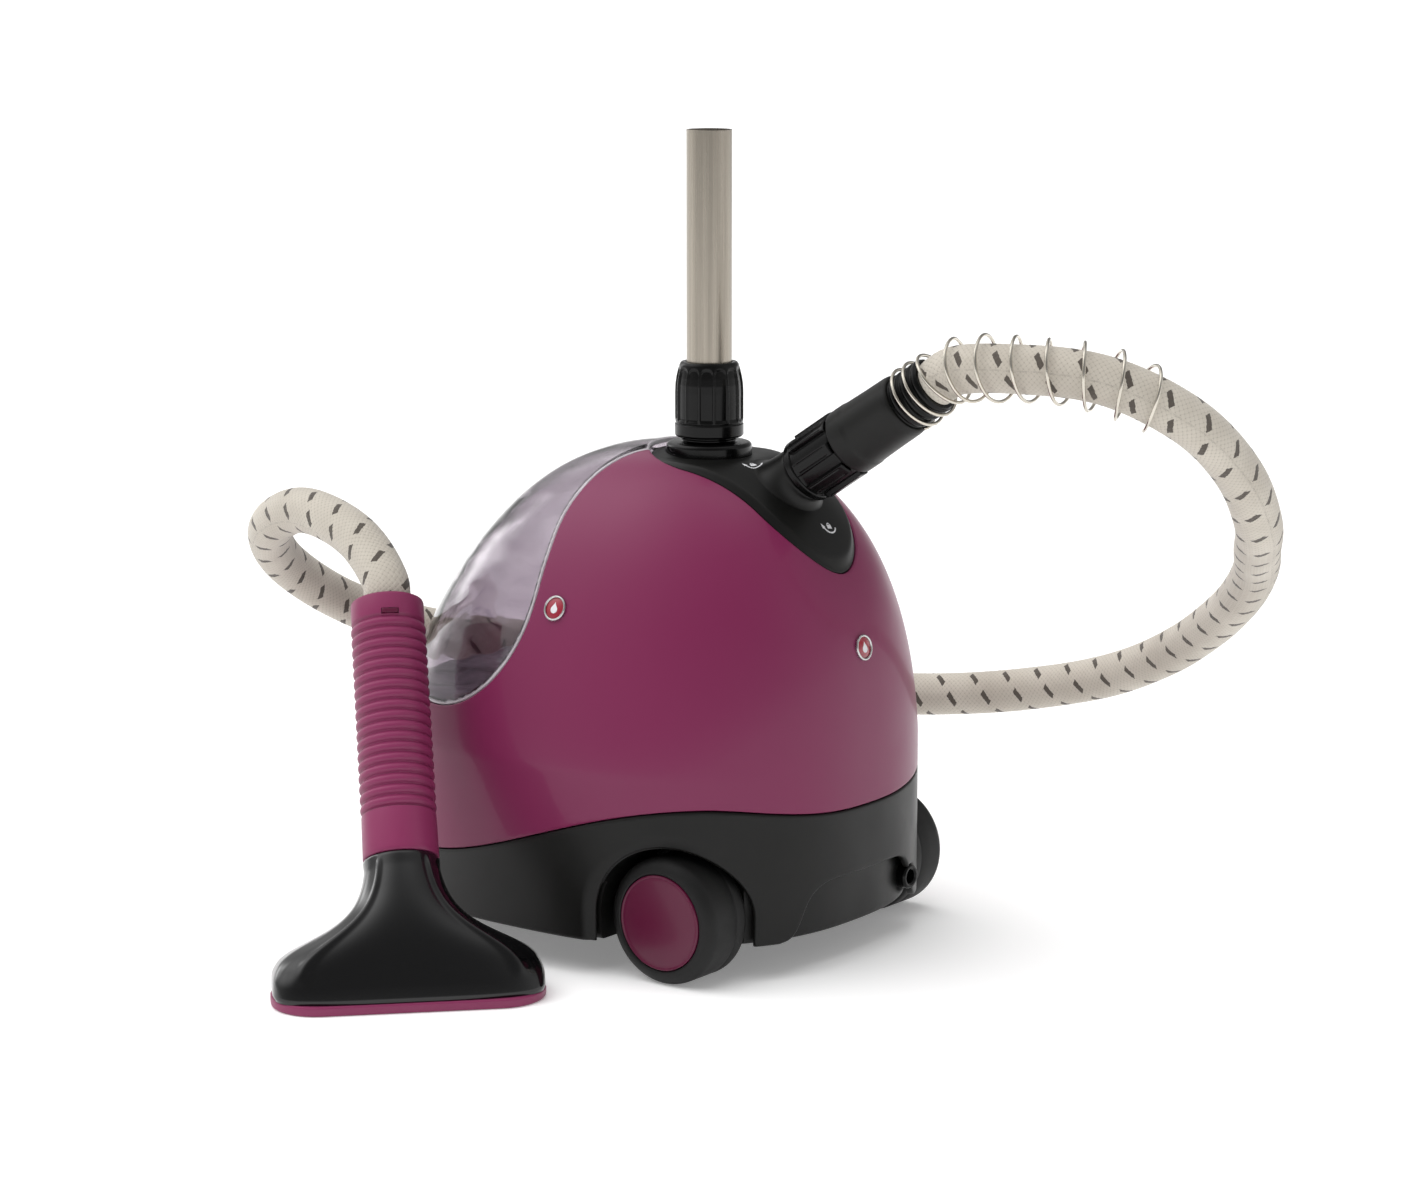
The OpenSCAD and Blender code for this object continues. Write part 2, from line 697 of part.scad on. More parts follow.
module boiler() {
    color(cast_alloy) place() at_boiler() difference() {
        union() {
            translate([0, 0, boiler_low]) cylinder(r = boiler_r, h = boiler_high - boiler_low);
            translate([0, 0, boiler_high - 5]) cylinder(r = boiler_r + 5, h = 5);
        }
        translate([0, 0, boiler_low + 5]) cylinder(r = boiler_r - 5, h = 100);
        translate([0, 0, boiler_low + 26]) rotate([90, 0, 0]) cylinder(r = 5.05, h = 90);
        round_boiler(6, boiler_r + 1.5, 30) translate([0, 0, boiler_high - 6]) cylinder(r = 1.6, h = 10);
    }
}

module boiler_gasket() {
    color(silicone) place() at_boiler() translate([0, 0, boiler_high]) difference() {
        cylinder(r = boiler_r - 1, h = 1.5);
        translate([0, 0, -1]) cylinder(r = boiler_r - 4.5, h = 4);
    }
}

module boiler_lid() {
    color(cast_alloy) place() at_boiler() difference() {
        union() {
            translate([0, 0, boiler_high + 1.5]) cylinder(r = boiler_r + 5, h = 5);
            translate([0, outlet_y, boiler_high + 6]) cylinder(r = 6, h = 14);
        }
        translate([0, outlet_y, 60]) cylinder(r = 4, h = 60);
        round_boiler(6, boiler_r + 1.5, 30) translate([0, 0, boiler_high]) cylinder(r = 1.9, h = 20);
    }
}

module boiler_screws() {
    color(bright_steel) place() at_boiler() round_boiler(6, boiler_r + 1.5, 30) {
        translate([0, 0, boiler_high + 6.5]) cylinder(r = 3, h = 2.5);
        translate([0, 0, boiler_high - 4]) cylinder(r = 1.5, h = 11);
    }
}

module boiler_posts() {
    color(soot) place() at_boiler() round_boiler(3, 36, 90)
        translate([0, 0, base_bottom + tub_floor]) cylinder(r = 6, h = boiler_low - base_bottom - tub_floor);
}

module heating_element() {
    color(bright_steel) place() at_boiler() {
        translate([0, 0, boiler_low + 10]) rotate_extrude() translate([34, 0]) circle(4);
        translate([0, -34, boiler_low + 5]) cylinder(r = 2, h = 3);
    }
}

module thermostat() {
    color(bright_steel) place() at_boiler() translate([-20, -12, boiler_high + 6.5]) {
        cylinder(r = 9, h = 6);
        translate([0, 0, 6]) cylinder(r = 6.5, h = 5);
    }
}

module thermal_fuse() {
    color(braid) place() at_boiler() translate([12, -22, boiler_high + 9.6]) rotate([0, 90, 0]) cylinder(r = 3, h = 22);
}

function steam_path(extra) = concat(
    [[0, elbow_foot[1], boiler_high + 9 - extra]],
    [for (k = [0 : 4]) elbow_foot + steam_bend * [0, 1 - cos(elbow_turn * k / 4), sin(elbow_turn * k / 4)]],
    [connector_start - (barb_reach - 10 - extra) * connector_dir]);
module steam_tube() {
    color(silicone) place() freeform() difference() {
        swept_tube(steam_path(0), 8.5, 20);
        swept_tube(steam_path(1), 6.3, 20);
    }
}

module feed_tube() {
    bend = 14;
    low = boiler_low + 26;
    color(silicone) place() translate([valve_place[0], valve_place[1], 0]) {
        translate([0, 0, low + bend]) tube(7, 5.05, 110 - low - bend);
        translate([0, bend, low + bend]) rotate([90, 0, 90]) rotate([0, 0, 180]) rotate_extrude(angle = 90)
            translate([bend, 0]) difference() {
                circle(7, $fn = 32);
                circle(5.05, $fn = 32);
            }
        translate([0, bend, low]) rotate([-90, 0, 0]) difference() {
            cylinder(r = 7, h = boiler_place[1] - valve_place[1] - boiler_r - bend - 0.6);
            translate([0, 0, -1]) cylinder(r = 5.05, h = 100);
        }
        translate([0, bend + 24, low]) rotate([-90, 0, 0])
            tube(5, 3.4, boiler_place[1] - valve_place[1] - boiler_r + 4 - bend - 24);
    }
}

// --- Running gear ----------------------------------------------------------------------------

washer_x = 109.2;
module axle() {
    color(bright_steel) place() translate([0, wheel_y, wheel_r]) rotate([0, 90, 0])
        cylinder(r = axle_r, h = 2 * 112, center = true);
}

module axle_brackets() {
    color(soot) place() for (side = [-1, 1]) translate([side * 60, wheel_y, 0]) difference() {
        translate([-5, -10, base_bottom + tub_floor]) cube([10, 20, 22]);
        translate([0, 0, wheel_r]) rotate([0, 90, 0]) cylinder(r = axle_r, h = 40, center = true);
    }
}

module axle_washers() {
    color(bright_steel) place() for (side = [-1, 1]) translate([side * washer_x, wheel_y, wheel_r])
        rotate([0, side * 90, 0]) tube(8, axle_r, 1.2);
}

// Wheel parts are drawn along +X from the tyre's inner face, then turned for the left side
module at_wheel(side) {
    translate([side * (wheel_face_x - wheel_w), wheel_y, wheel_r]) rotate([0, side * 90, 0]) children();
}
module tyre(side) {
    color(soot) place() at_wheel(side) rotate_extrude() polygon(concat(
        [[25, 0]],
        [for (a = [-90 : 18 : 0]) [wheel_r - 4 + 4 * cos(a), 4 + 4 * sin(a)]],
        [for (a = [0 : 15 : 90]) [wheel_r - 6 + 6 * cos(a), wheel_w - 6 + 6 * sin(a)]],
        [[26.6, wheel_w], [26.6, wheel_w - 3], [25, wheel_w - 3]]));
}
module hub(side) {
    color(soot) place() at_wheel(side) difference() {
        union() {
            translate([0, 0, 1]) tube(25, 21, wheel_w - 4.5);
            translate([0, 0, 14]) cylinder(r = 22, h = 4);
            cylinder(r = 9, h = wheel_w - 6);
        }
        translate([0, 0, -1]) cylinder(r = axle_r + 0.05, h = 60);
    }
}
module hub_cap(side) {
    color(plum_dark) place() at_wheel(side) rotate_extrude() polygon(concat(
        [[0, wheel_w - 1.4], [18.5, wheel_w - 1.4], [18.5, wheel_w - 9], [20.9, wheel_w - 9],
         [20.9, wheel_w - 3.4], [24.8, wheel_w - 3.4], [24.8, wheel_w - 2.95],
         [26.4, wheel_w - 2.95], [26.4, wheel_w + 0.2], [25.6, wheel_w + 0.9], [24.4, wheel_w + 0.6]],
        [for (k = [0 : 5]) let (r = 23.6 * (1 - k / 5)) [r, wheel_w + 0.3 + 2.1 * (1 - pow(r / 24, 2))]]));
}

module wheel_right_tyre() { tyre(1); }
module wheel_right_hub() { hub(1); }
module wheel_right_cap() { hub_cap(1); }
module wheel_left_tyre() { tyre(-1); }
module wheel_left_hub() { hub(-1); }
module wheel_left_cap() { hub_cap(-1); }

// Each caster trails towards the rear: its fork turns on a stem, its wheel on a pin
caster_w = 13;
module at_caster(side) { translate([side * caster_place[0], caster_place[1], 0]) children(); }
module caster_fork(side) {
    color(soot) place() at_caster(side) difference() {
        union() {
            translate([0, 0, 24.5]) cylinder(r = 14, h = 11.5);
            for (x = [-1, 1]) translate([x * 10, caster_trail, 0]) {
                translate([-1.5, -7, caster_r]) cube([3, 14, 16]);
                translate([0, 0, caster_r]) rotate([0, 90, 0]) cylinder(r = 7, h = 3, center = true);
            }
            translate([0, 0, 30]) cylinder(r = 4, h = 25);
        }
        translate([-8.5, caster_trail - 13, 0]) cube([17, 26, caster_r + 13.6]);
        translate([0, caster_trail, caster_r]) rotate([0, 90, 0]) cylinder(r = 2, h = 40, center = true);
    }
}
module caster_wheel(side) {
    color(soot) place() at_caster(side) translate([0, caster_trail, caster_r]) rotate([0, 90, 0]) difference() {
        rotate_extrude() polygon([[0, -caster_w / 2], [caster_r - 1.5, -caster_w / 2], [caster_r, -caster_w / 2 + 1.5],
            [caster_r, caster_w / 2 - 1.5], [caster_r - 1.5, caster_w / 2], [0, caster_w / 2]]);
        cylinder(r = 2.05, h = 40, center = true);
    }
}
module caster_pin(side) {
    color(bright_steel) place() at_caster(side) translate([0, caster_trail, caster_r]) rotate([0, 90, 0])
        cylinder(r = 2, h = 24, center = true);
}
module caster_right_fork() { caster_fork(1); }
module caster_right_wheel() { caster_wheel(1); }
module caster_right_pin() { caster_pin(1); }
module caster_left_fork() { caster_fork(-1); }
module caster_left_wheel() { caster_wheel(-1); }
module caster_left_pin() { caster_pin(-1); }

// --- Switch, lens, gland and badges ----------------------------------------------------------

button_r = 13;
module on_front(z) { translate([0, button_y, z]) rotate([-90, 0, 0]) children(); }
module power_bezel() {
    color(soot) place() on_front(button_z) difference() {
        union() {
            cylinder(r = bezel_r - 0.2, h = 14);
            cylinder(r = bezel_r - 0.2, h = 1);
        }
        translate([0, 0, -1]) cylinder(r = button_r + 0.05, h = 12);
    }
}
module power_button() {
    color(plum_dark) place() on_front(button_z) translate([0, 0, -1]) cylinder(r = button_r, h = 7.5);
}
module indicator_lens() {
    color([0.8, 0.25, 0.15]) place() on_front(lens_z) cylinder(r = 3, h = 8);
}

module cord_gland() {
    color(soot) place() translate(gland_place) rotate([-90, 0, 0]) tube(gland_r, 4, 6.6);
}

badge_r = 7.2;
badge_lift = 0.35;
side_badge_z = 197;
rear_badge_z = 175;
function slope_of(w_low, w_high, dz) = atan((w_low - w_high) / dz);
module badge() {
    rotate_extrude() polygon([[0, 0], [badge_r, 0], [badge_r, 0.9], [badge_r - 0.7, 1.5], [badge_r - 1.4, 1.2], [0, 1.6]]);
}
module side_badge() {
    tilt = slope_of(half_width(side_badge_z - 2), half_width(side_badge_z + 2), 4);
    color(plum_dark) place() translate([half_width(side_badge_z), centre_y(side_badge_z) + 3, side_badge_z])
        rotate([0, 90 - tilt, 0]) translate([0, 0, badge_lift]) badge();
}
module rear_badge() {
    rear_y = function (z) centre_y(z) + rear_reach(z);
    tilt = slope_of(rear_y(rear_badge_z - 2), rear_y(rear_badge_z + 2), 4);
    color(plum_dark) place() translate([0, rear_y(rear_badge_z), rear_badge_z])
        rotate([-(90 - tilt), 0, 0]) translate([0, 0, badge_lift]) badge();
}

base_shell();
body_shell();
tank_bay();
valve_seat();
top_saddle();
pole_socket();
pole_tube();
pole_lock_nut();
hose_spigot();
hose_lock_nut();
hose_cuff();
hose_sleeve();
strain_spring();
hose();
hose_end_bush();
handle_grip();
handle_core();
handle_latch();
nozzle_shell();
face_plate();
steam_plate();
nozzle_screws();
tank();
tank_cap();
tank_valve();
boiler();
boiler_lid();
boiler_gasket();
boiler_screws();
boiler_posts();
heating_element();
thermostat();
thermal_fuse();
steam_tube();
feed_tube();
axle();
axle_brackets();
axle_washers();
wheel_right_tyre();
wheel_right_hub();
wheel_right_cap();
wheel_left_tyre();
wheel_left_hub();
wheel_left_cap();
caster_right_fork();
caster_right_wheel();
caster_right_pin();
caster_left_fork();
caster_left_wheel();
caster_left_pin();
power_bezel();
power_button();
indicator_lens();
cord_gland();
side_badge();
rear_badge();
base_screws();
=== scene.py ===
import json
import math

import bmesh
import bpy
import numpy as np
from mathutils import Euler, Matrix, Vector
from mathutils.bvhtree import BVHTree


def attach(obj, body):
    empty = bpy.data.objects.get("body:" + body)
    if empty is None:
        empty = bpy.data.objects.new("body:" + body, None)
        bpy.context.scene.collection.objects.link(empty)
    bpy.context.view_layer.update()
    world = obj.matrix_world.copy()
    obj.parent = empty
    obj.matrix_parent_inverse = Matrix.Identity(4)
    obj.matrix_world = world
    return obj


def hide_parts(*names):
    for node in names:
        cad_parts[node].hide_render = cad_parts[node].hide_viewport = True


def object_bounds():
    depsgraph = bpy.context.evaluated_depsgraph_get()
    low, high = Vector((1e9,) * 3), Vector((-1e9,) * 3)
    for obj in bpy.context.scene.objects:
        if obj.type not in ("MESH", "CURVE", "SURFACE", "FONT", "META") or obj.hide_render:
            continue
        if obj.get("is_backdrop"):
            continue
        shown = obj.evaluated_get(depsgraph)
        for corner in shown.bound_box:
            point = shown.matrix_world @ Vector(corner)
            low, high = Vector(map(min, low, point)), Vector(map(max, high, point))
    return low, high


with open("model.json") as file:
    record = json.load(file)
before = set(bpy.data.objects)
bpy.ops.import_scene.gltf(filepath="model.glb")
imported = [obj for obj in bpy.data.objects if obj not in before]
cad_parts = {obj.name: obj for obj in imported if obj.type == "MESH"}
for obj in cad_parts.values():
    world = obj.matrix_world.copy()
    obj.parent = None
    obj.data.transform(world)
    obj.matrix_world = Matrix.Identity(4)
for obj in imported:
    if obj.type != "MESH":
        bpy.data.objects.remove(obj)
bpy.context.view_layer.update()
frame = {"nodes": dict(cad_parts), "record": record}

# Lengths below are millimetres from the foot of the pole's axis; row() turns them into the frame's metres.
ORIGIN = np.array([74.2, -12.2, 0.0])
COINCIDENT = 1e-7       # metres, for points made twice
X_DIR, Y_DIR, Z_DIR = np.eye(3)


def row(p):
    return (np.asarray(p, dtype=float) - ORIGIN) / 1000.0


def from_row(p):
    return np.array(p) * 1000.0 + ORIGIN


# ------------------------------------------------------------------ camera
cam_data = bpy.data.cameras.new("camera")
cam_data.sensor_width = 36.0
cam_data.lens = 91.78
cam = bpy.data.objects.new("camera", cam_data)
bpy.context.scene.collection.objects.link(cam)
cam.location = row((1601.5, 1198.0, 557.0))
cam.rotation_euler = Euler((math.radians(79.6), 0.0, math.radians(126.85)))
bpy.context.scene.camera = cam


# ------------------------------------------------------------------ mesh helpers
def recalc(ob, merge):
    """Turns every face outwards, after joining the points that lie within merge metres."""
    bm = bmesh.new()
    bm.from_mesh(ob.data)
    if merge:
        bmesh.ops.remove_doubles(bm, verts=bm.verts, dist=merge)
    bmesh.ops.recalc_face_normals(bm, faces=bm.faces)
    bm.to_mesh(ob.data)
    bm.free()


def smooth_shaded(ob, sharp):
    ob.data.polygons.foreach_set("use_smooth", [True] * len(ob.data.polygons))
    ob.data.set_sharp_from_angle(angle=math.radians(sharp))


def mesh_piece(name, verts, faces, mat, body="machine", sharp=38.0, uv=None, replaces=None, slot=None,
               merge=0.0):
    """A mesh from points in mm: smooth but for edges sharper than sharp degrees, and riding on its body."""
    me = bpy.data.meshes.new(name)
    me.from_pydata([tuple(p) for p in row(verts)], [], [tuple(int(i) for i in f) for f in faces])
    if uv is not None:
        layer = me.uv_layers.new(name="flow")
        loop_v = np.zeros(len(me.loops), dtype=np.int64)
        me.loops.foreach_get("vertex_index", loop_v)
        layer.data.foreach_set("uv", np.asarray(uv, dtype=np.float32)[loop_v].ravel())
    me.validate()
    ob = bpy.data.objects.new(name, me)
    bpy.context.scene.collection.objects.link(ob)
    recalc(ob, merge)
    smooth_shaded(ob, sharp)
    if mat:
        me.materials.append(MAT[mat])
    if body:
        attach(ob, body)
    if replaces:
        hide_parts(replaces)
    return ob


def band(name, rings, mat, **how):
    """A piece from closed rings of points, the last ring joined to the first."""
    return mesh_piece(name, np.concatenate(rings), grid_faces(len(rings), len(rings[0]), loop=True), mat, **how)


def cutter(verts, faces, merge=0.0):
    return mesh_piece("cutter", verts, faces, None, body=None, merge=merge)


def carve(ob, tools, sharp):
    """Takes the tools' shapes out of the piece, and removes the tools."""
    for tool in tools:
        m = ob.modifiers.new("cut", "BOOLEAN")
        m.operation, m.object, m.solver = "DIFFERENCE", tool, "EXACT"
    old = ob.data
    me = bpy.data.meshes.new_from_object(ob.evaluated_get(bpy.context.evaluated_depsgraph_get()))
    ob.modifiers.clear()
    ob.data = me
    bpy.data.meshes.remove(old)
    for tool in tools:
        bpy.data.objects.remove(tool, do_unlink=True)
    smooth_shaded(ob, sharp)
    return ob


def grid_faces(n_rows, n_cols, wrap=True, loop=False):
    """Quads between rows of points; wrap joins the last column to the first, and loop the last row."""
    out = []
    for j in range(n_rows if loop else n_rows - 1):
        a, b = j * n_cols, (j + 1) % n_rows * n_cols
        for i in range(n_cols if wrap else n_cols - 1):
            k = (i + 1) % n_cols
            out.append((a + i, a + k, b + k, b + i))
    return out


def angles(n):
    return np.arange(n) / n * 2 * math.pi


def revolve(profile, n=96, closed=False, relief=None):
    """Points (r, h) turned about the Z axis; relief(angle, r, h) moves the skin outwards."""
    ang = angles(n)
    r, h = (np.repeat(col[:, None], n, axis=1) for col in np.array(profile, dtype=float).T)
    if relief:
        r = r + relief(ang, r, h)
    v = np.stack([r * np.cos(ang), r * np.sin(ang), h], axis=-1)
    return v.reshape(-1, 3), grid_faces(len(profile), n, loop=closed)


def arc(r, h, size, a0, a1, n, size_h=None):
    """Points on a circle's or an ellipse's arc round (r, h), from angle a0 to a1."""
    size_h = size if size_h is None else size_h
    return [(r + size * math.cos(t), h + size_h * math.sin(t)) for t in np.linspace(a0, a1, n)]


def rounded(profile, radius=0.5, steps=4):
    """Rounds the corners of an open (r, h) outline."""
    out = [profile[0]]
    for corner in zip(profile, profile[1:], profile[2:]):
        a, b, c = (np.array(v, dtype=float) for v in corner)
        la, lc = np.linalg.norm(a - b), np.linalg.norm(c - b)
        d = min(radius, 0.45 * la, 0.45 * lc)
        p, q = b + (a - b) / la * d, b + (c - b) / lc * d
        out += [tuple((1 - f) ** 2 * p + 2 * f * (1 - f) * b + f * f * q) for f in np.arange(steps + 1) / steps]
    return out + [profile[-1]]


def spline(p, n, power):
    """Catmull-Rom curve through all but the end points, n steps a span; power 0.5 suits uneven spans."""
    p = np.array(p, dtype=float)
    t = np.concatenate([[0], np.cumsum(np.linalg.norm(np.diff(p, axis=0), axis=1) ** power)])
    out = []
    for i in range(1, len(p) - 2):
        t0, t1, t2, t3 = t[i - 1:i + 3]
        p0, p1, p2, p3 = p[i - 1:i + 3]
        x = np.linspace(t1, t2, n, endpoint=False)[:, None]
        a1 = (t1 - x) / (t1 - t0) * p0 + (x - t0) / (t1 - t0) * p1
        a2 = (t2 - x) / (t2 - t1) * p1 + (x - t1) / (t2 - t1) * p2
        a3 = (t3 - x) / (t3 - t2) * p2 + (x - t2) / (t3 - t2) * p3
        b1 = (t2 - x) / (t2 - t0) * a1 + (x - t0) / (t2 - t0) * a2
        b2 = (t3 - x) / (t3 - t1) * a2 + (x - t1) / (t3 - t1) * a3
        out.append((t2 - x) / (t2 - t1) * b1 + (x - t1) / (t2 - t1) * b2)
    return np.concatenate(out + [p[-2:-1]])


def placed(verts, origin, x_dir, y_dir, z_dir):
    return np.asarray(verts) @ np.array([x_dir, y_dir, z_dir], dtype=float) + np.asarray(origin, dtype=float)


def unit(v):
    return v / np.maximum(np.linalg.norm(v, axis=-1, keepdims=True), 1e-9)


def smooth01(f):
    f = np.clip(f, 0, 1)
    return f * f * (3 - 2 * f)


# ------------------------------------------------------------------ node helpers
class Value:
    """A node's output; arithmetic on it adds Math nodes."""

    def __init__(self, graph, socket):
        self.graph, self.socket = graph, socket

    def math(self, operation, *others):
        return self.graph.node("ShaderNodeMath", (self, *others), operation=operation)

    def __add__(self, other):
        return self.math("ADD", other)

    def __sub__(self, other):
        return self.math("SUBTRACT", other)

    def __mul__(self, other):
        return self.math("MULTIPLY", other)

    def __abs__(self):
        return self.math("ABSOLUTE")


class Graph:
    """The node tree of a material or of the world."""

    def __init__(self, tree, coordinate):
        self.tree = tree
        self.where = self.node("ShaderNodeTexCoord", out=coordinate)

    def feed(self, socket, v):
        if isinstance(v, Value):
            self.tree.links.new(v.socket, socket)
        else:
            socket.default_value = v

    def node(self, kind, inputs=(), out=0, **settings):
        """Adds a node, with its inputs by place or by name, and returns one of its outputs."""
        n = self.tree.nodes.new(kind)
        for k, v in settings.items():
            setattr(n, k, v)
        for k, v in inputs.items() if isinstance(inputs, dict) else enumerate(inputs):
            self.feed(n.inputs[k], v)
        return Value(self, n.outputs[out])


def srgb(*rgb):
    shares = [c / 255.0 for c in rgb]
    return (*(s / 12.92 if s <= 0.04045 else ((s + 0.055) / 1.055) ** 2.4 for s in shares), 1.0)


def times(color, k):
    return (*(min(1.0, c * k) for c in color[:3]), 1.0)


class Mat(Graph):
    """A material round one Principled BSDF."""
    INPUTS = {"color": "Base Color", "rough": "Roughness", "metal": "Metallic", "coat": "Coat Weight",
              "coat_rough": "Coat Roughness", "ior": "IOR", "spec": "Specular IOR Level", "normal": "Normal",
              "trans": "Transmission Weight", "sheen": "Sheen Weight", "sss": "Subsurface Weight",
              "glow": "Emission Color", "glow_power": "Emission Strength"}

    def __init__(self, name):
        self.m = bpy.data.materials.new(name)
        self.m.use_nodes = True
        super().__init__(self.m.node_tree, "Object")

    def noise(self, scale, detail=3.0, rough=0.55, stretch=None):
        at = self.where
        if stretch:
            at = self.node("ShaderNodeVectorMath", (at, stretch), operation="MULTIPLY")
        settings = {"Vector": at, "Scale": scale, "Detail": detail, "Roughness": rough}
        return self.node("ShaderNodeTexNoise", settings, "Fac")

    def flow(self, axis):
        """One axis of the UV map that mesh_piece writes."""
        return self.node("ShaderNodeSeparateXYZ", (self.node("ShaderNodeUVMap", uv_map="flow"),), axis)

    def span(self, fac, a, b, lo=0.0, hi=1.0):
        return self.node("ShaderNodeMapRange", (fac, lo, hi, a, b))

    def mix(self, fac, a, b):
        return self.node("ShaderNodeMix", {"Factor": fac, 6: a, 7: b}, 2, data_type="RGBA")

    def bump(self, height, strength, distance=0.0001):
        return self.node("ShaderNodeBump", {"Strength": strength, "Distance": distance, "Height": height})

    def set(self, **values):
        for k, v in values.items():
            self.feed(self.tree.nodes["Principled BSDF"].inputs[self.INPUTS[k]], v)
        return self.m


# ------------------------------------------------------------------ materials
def moulded(name, color, rough, coat=0.0, fine=900.0, bump=0.05, mottle=0.06, coat_rough=0.08, spec=0.35):
    """Injection-moulded plastic: slight colour drift, fine surface grain and uneven polish."""
    m = Mat(name)
    drift = m.span(m.noise(7.0, 2.0), 0, 1, 0.3, 0.7)
    return m.set(color=m.mix(drift, times(color, 1 - mottle), times(color, 1 + mottle)),
                 rough=m.span(m.noise(38.0, 4.0), *rough, 0.3, 0.7), coat=coat, coat_rough=coat_rough,
                 spec=spec,
                 normal=m.bump(m.noise(fine, 2.0), bump))


def metal(name, color, rough, scale, bump, stretch=(1, 1, 1), bands=None):
    """Fine lines in the polish, over clouds or, with bands, over streaks along Z."""
    m = Mat(name)
    lines = m.noise(scale, 2.0, 0.6, stretch)
    cloud = m.noise(bands, 3.0, 0.6, (1, 1, 0.01)) if bands else m.noise(12.0)
    dark = times(color, 0.72 if bands else 0.9)
    return m.set(color=m.mix(m.span(cloud, 0, 1, 0.35, 0.65), dark, color), metal=1.0,
                 rough=m.span(lines, *rough, 0.3, 0.7), normal=m.bump(lines, bump))


def soft_rubber(name, color):
    m = Mat(name)
    return m.set(color=m.mix(m.noise(20.0), times(color, 0.93), color), rough=m.span(m.noise(90.0), 0.42, 0.55),
                 sss=0.1, normal=m.bump(m.noise(1200.0), 0.08))


def lens_red(name):
    m = Mat(name)
    return m.set(color=srgb(190, 40, 26), rough=m.span(m.noise(60.0), 0.08, 0.14), trans=0.6, ior=1.49)


def clear_plastic(name, thin, thick):
    """Tinted clear plastic with moulding waves, and a painted highlight: a pale, less clear rim where the flow
    map's X is 1.
    """
    m = Mat(name)
    rim = m.flow("X")
    smoke = m.mix(m.span(m.noise(11.0, 3.0, 0.5), 0, 1, 0.3, 0.7), thick, thin)
    waves = m.noise(17.0, 2.0, 0.5, (1.0, 0.6, 1.6))
    # Painted highlight: on the rim the colour turns pale, the plastic less clear and rougher, drawing a light
    # line along the tank's edge.
    return m.set(color=m.mix(rim, smoke, srgb(226, 220, 226)), trans=m.span(rim, 1.0, 0.35), ior=1.46,
                 rough=m.span(m.noise(40.0), 0.02, 0.05) + rim * 0.25, coat=0.3, coat_rough=0.02,
                 normal=m.bump(waves, 1.0, 0.0045))


MAT = {
    "body": moulded("plum_shell", srgb(120, 38, 78), (0.32, 0.38), 0.18, 2600.0, 0.006, 0.03, 0.035, 0.24),
    "hub_cap": moulded("plum_dark", srgb(88, 17, 50), (0.30, 0.38), 0.12, bump=0.03),
    "handle": moulded("plum_grip", srgb(131, 47, 87), (0.34, 0.44), 0.0, 1100.0, 0.10, 0.04),
    "black": moulded("black_satin", srgb(16, 16, 15), (0.34, 0.44), 0.0, 1400.0, 0.16, 0.10, spec=0.26),
    "black_smooth": moulded("black_smooth", srgb(6, 6, 6), (0.20, 0.28), 0.08, 1200.0, 0.06, 0.10, spec=0.19),
    "gloss": moulded("black_gloss", srgb(8, 8, 9), (0.16, 0.22), 0.5, 500.0, 0.01, 0.05, 0.03, 0.28),
    # Painted light: the bay is paler to stand in for the light that reaches it through the tank.
    "bay": moulded("bay_pale_painted_light", srgb(196, 186, 194), (0.30, 0.40), fine=1200.0, bump=0.03),
    "tyre": moulded("tyre_rubber", srgb(12, 12, 12), (0.50, 0.62), 0.0, 1600.0, 0.22, 0.12),
    "white": moulded("print_white", srgb(225, 225, 228), (0.45, 0.55), fine=2000.0, bump=0.02),
    "badge_red": moulded("badge_red", srgb(150, 24, 48), (0.12, 0.18), 0.8, 500.0, 0.01, 0.05, 0.03),
    "pole": metal("pole_satin", srgb(174, 166, 154), (0.24, 0.38), 1500.0, 0.12, (1, 1, 0.015), bands=190.0),
    "steel": metal("steel_bright", srgb(205, 205, 205), (0.18, 0.30), 700.0, 0.05),
    "wire": metal("wire_bright", srgb(214, 208, 196), (0.12, 0.2), 900.0, 0.03),
    "alloy": metal("alloy_cast", srgb(150, 150, 152), (0.42, 0.55), 500.0, 0.3),
    "silicone": soft_rubber("silicone", srgb(222, 212, 200)),
    "sleeve": soft_rubber("fuse_sleeve", srgb(226, 222, 210)),
    "lens": lens_red("lens_red"),
    "tank": clear_plastic("tank_smoke", srgb(205, 196, 204), srgb(180, 170, 180)),
    # Painted light: the same plastic as the tank, paler to stand in for the light that reaches its walls inside.
    "tank_inner_painted_light": clear_plastic("tank_clear_painted_light", srgb(244, 240, 244), srgb(232, 228, 232)),
}

# ------------------------------------------------------------------ where the connector and the steam head are
RISE = math.radians(33.0)
C_DIR = np.array([0.0, math.cos(RISE), math.sin(RISE)])     # the hose connector's axis
C_START = np.array([0.0, 66.6, 269.2])
C_SIDE = np.cross(C_DIR, X_DIR)
SLEEVE_END = C_START + 100.0 * C_DIR

LEAN, YAW = math.radians(31.5), math.radians(-44.0)         # of the handle, and of the head on the floor
HEAD = np.array([212.0, -42.0, 0.0])
HX = np.array([math.cos(YAW), math.sin(YAW), 0.0])
HY = np.array([-math.sin(YAW), math.cos(YAW), 0.0])
NECK_Z, NECK_R, HANDLE_L = 65.5, 20.8, 149.6
NECK_BACK = NECK_Z * math.tan(LEAN)
H_AXIS = -math.sin(LEAN) * HY + math.cos(LEAN) * Z_DIR      # the handle's axis
H_SIDE = math.cos(LEAN) * HY + math.sin(LEAN) * Z_DIR
NECK = HEAD - NECK_BACK * HY + NECK_Z * Z_DIR
HANDLE_TOP = NECK + HANDLE_L * H_AXIS


def along_connector(verts):
    return placed(verts, C_START, X_DIR, C_SIDE, C_DIR)


def on_head(verts):
    return placed(verts, HEAD, HX, HY, Z_DIR)


def on_handle(verts):
    return placed(verts, NECK, HX, H_SIDE, H_AXIS)


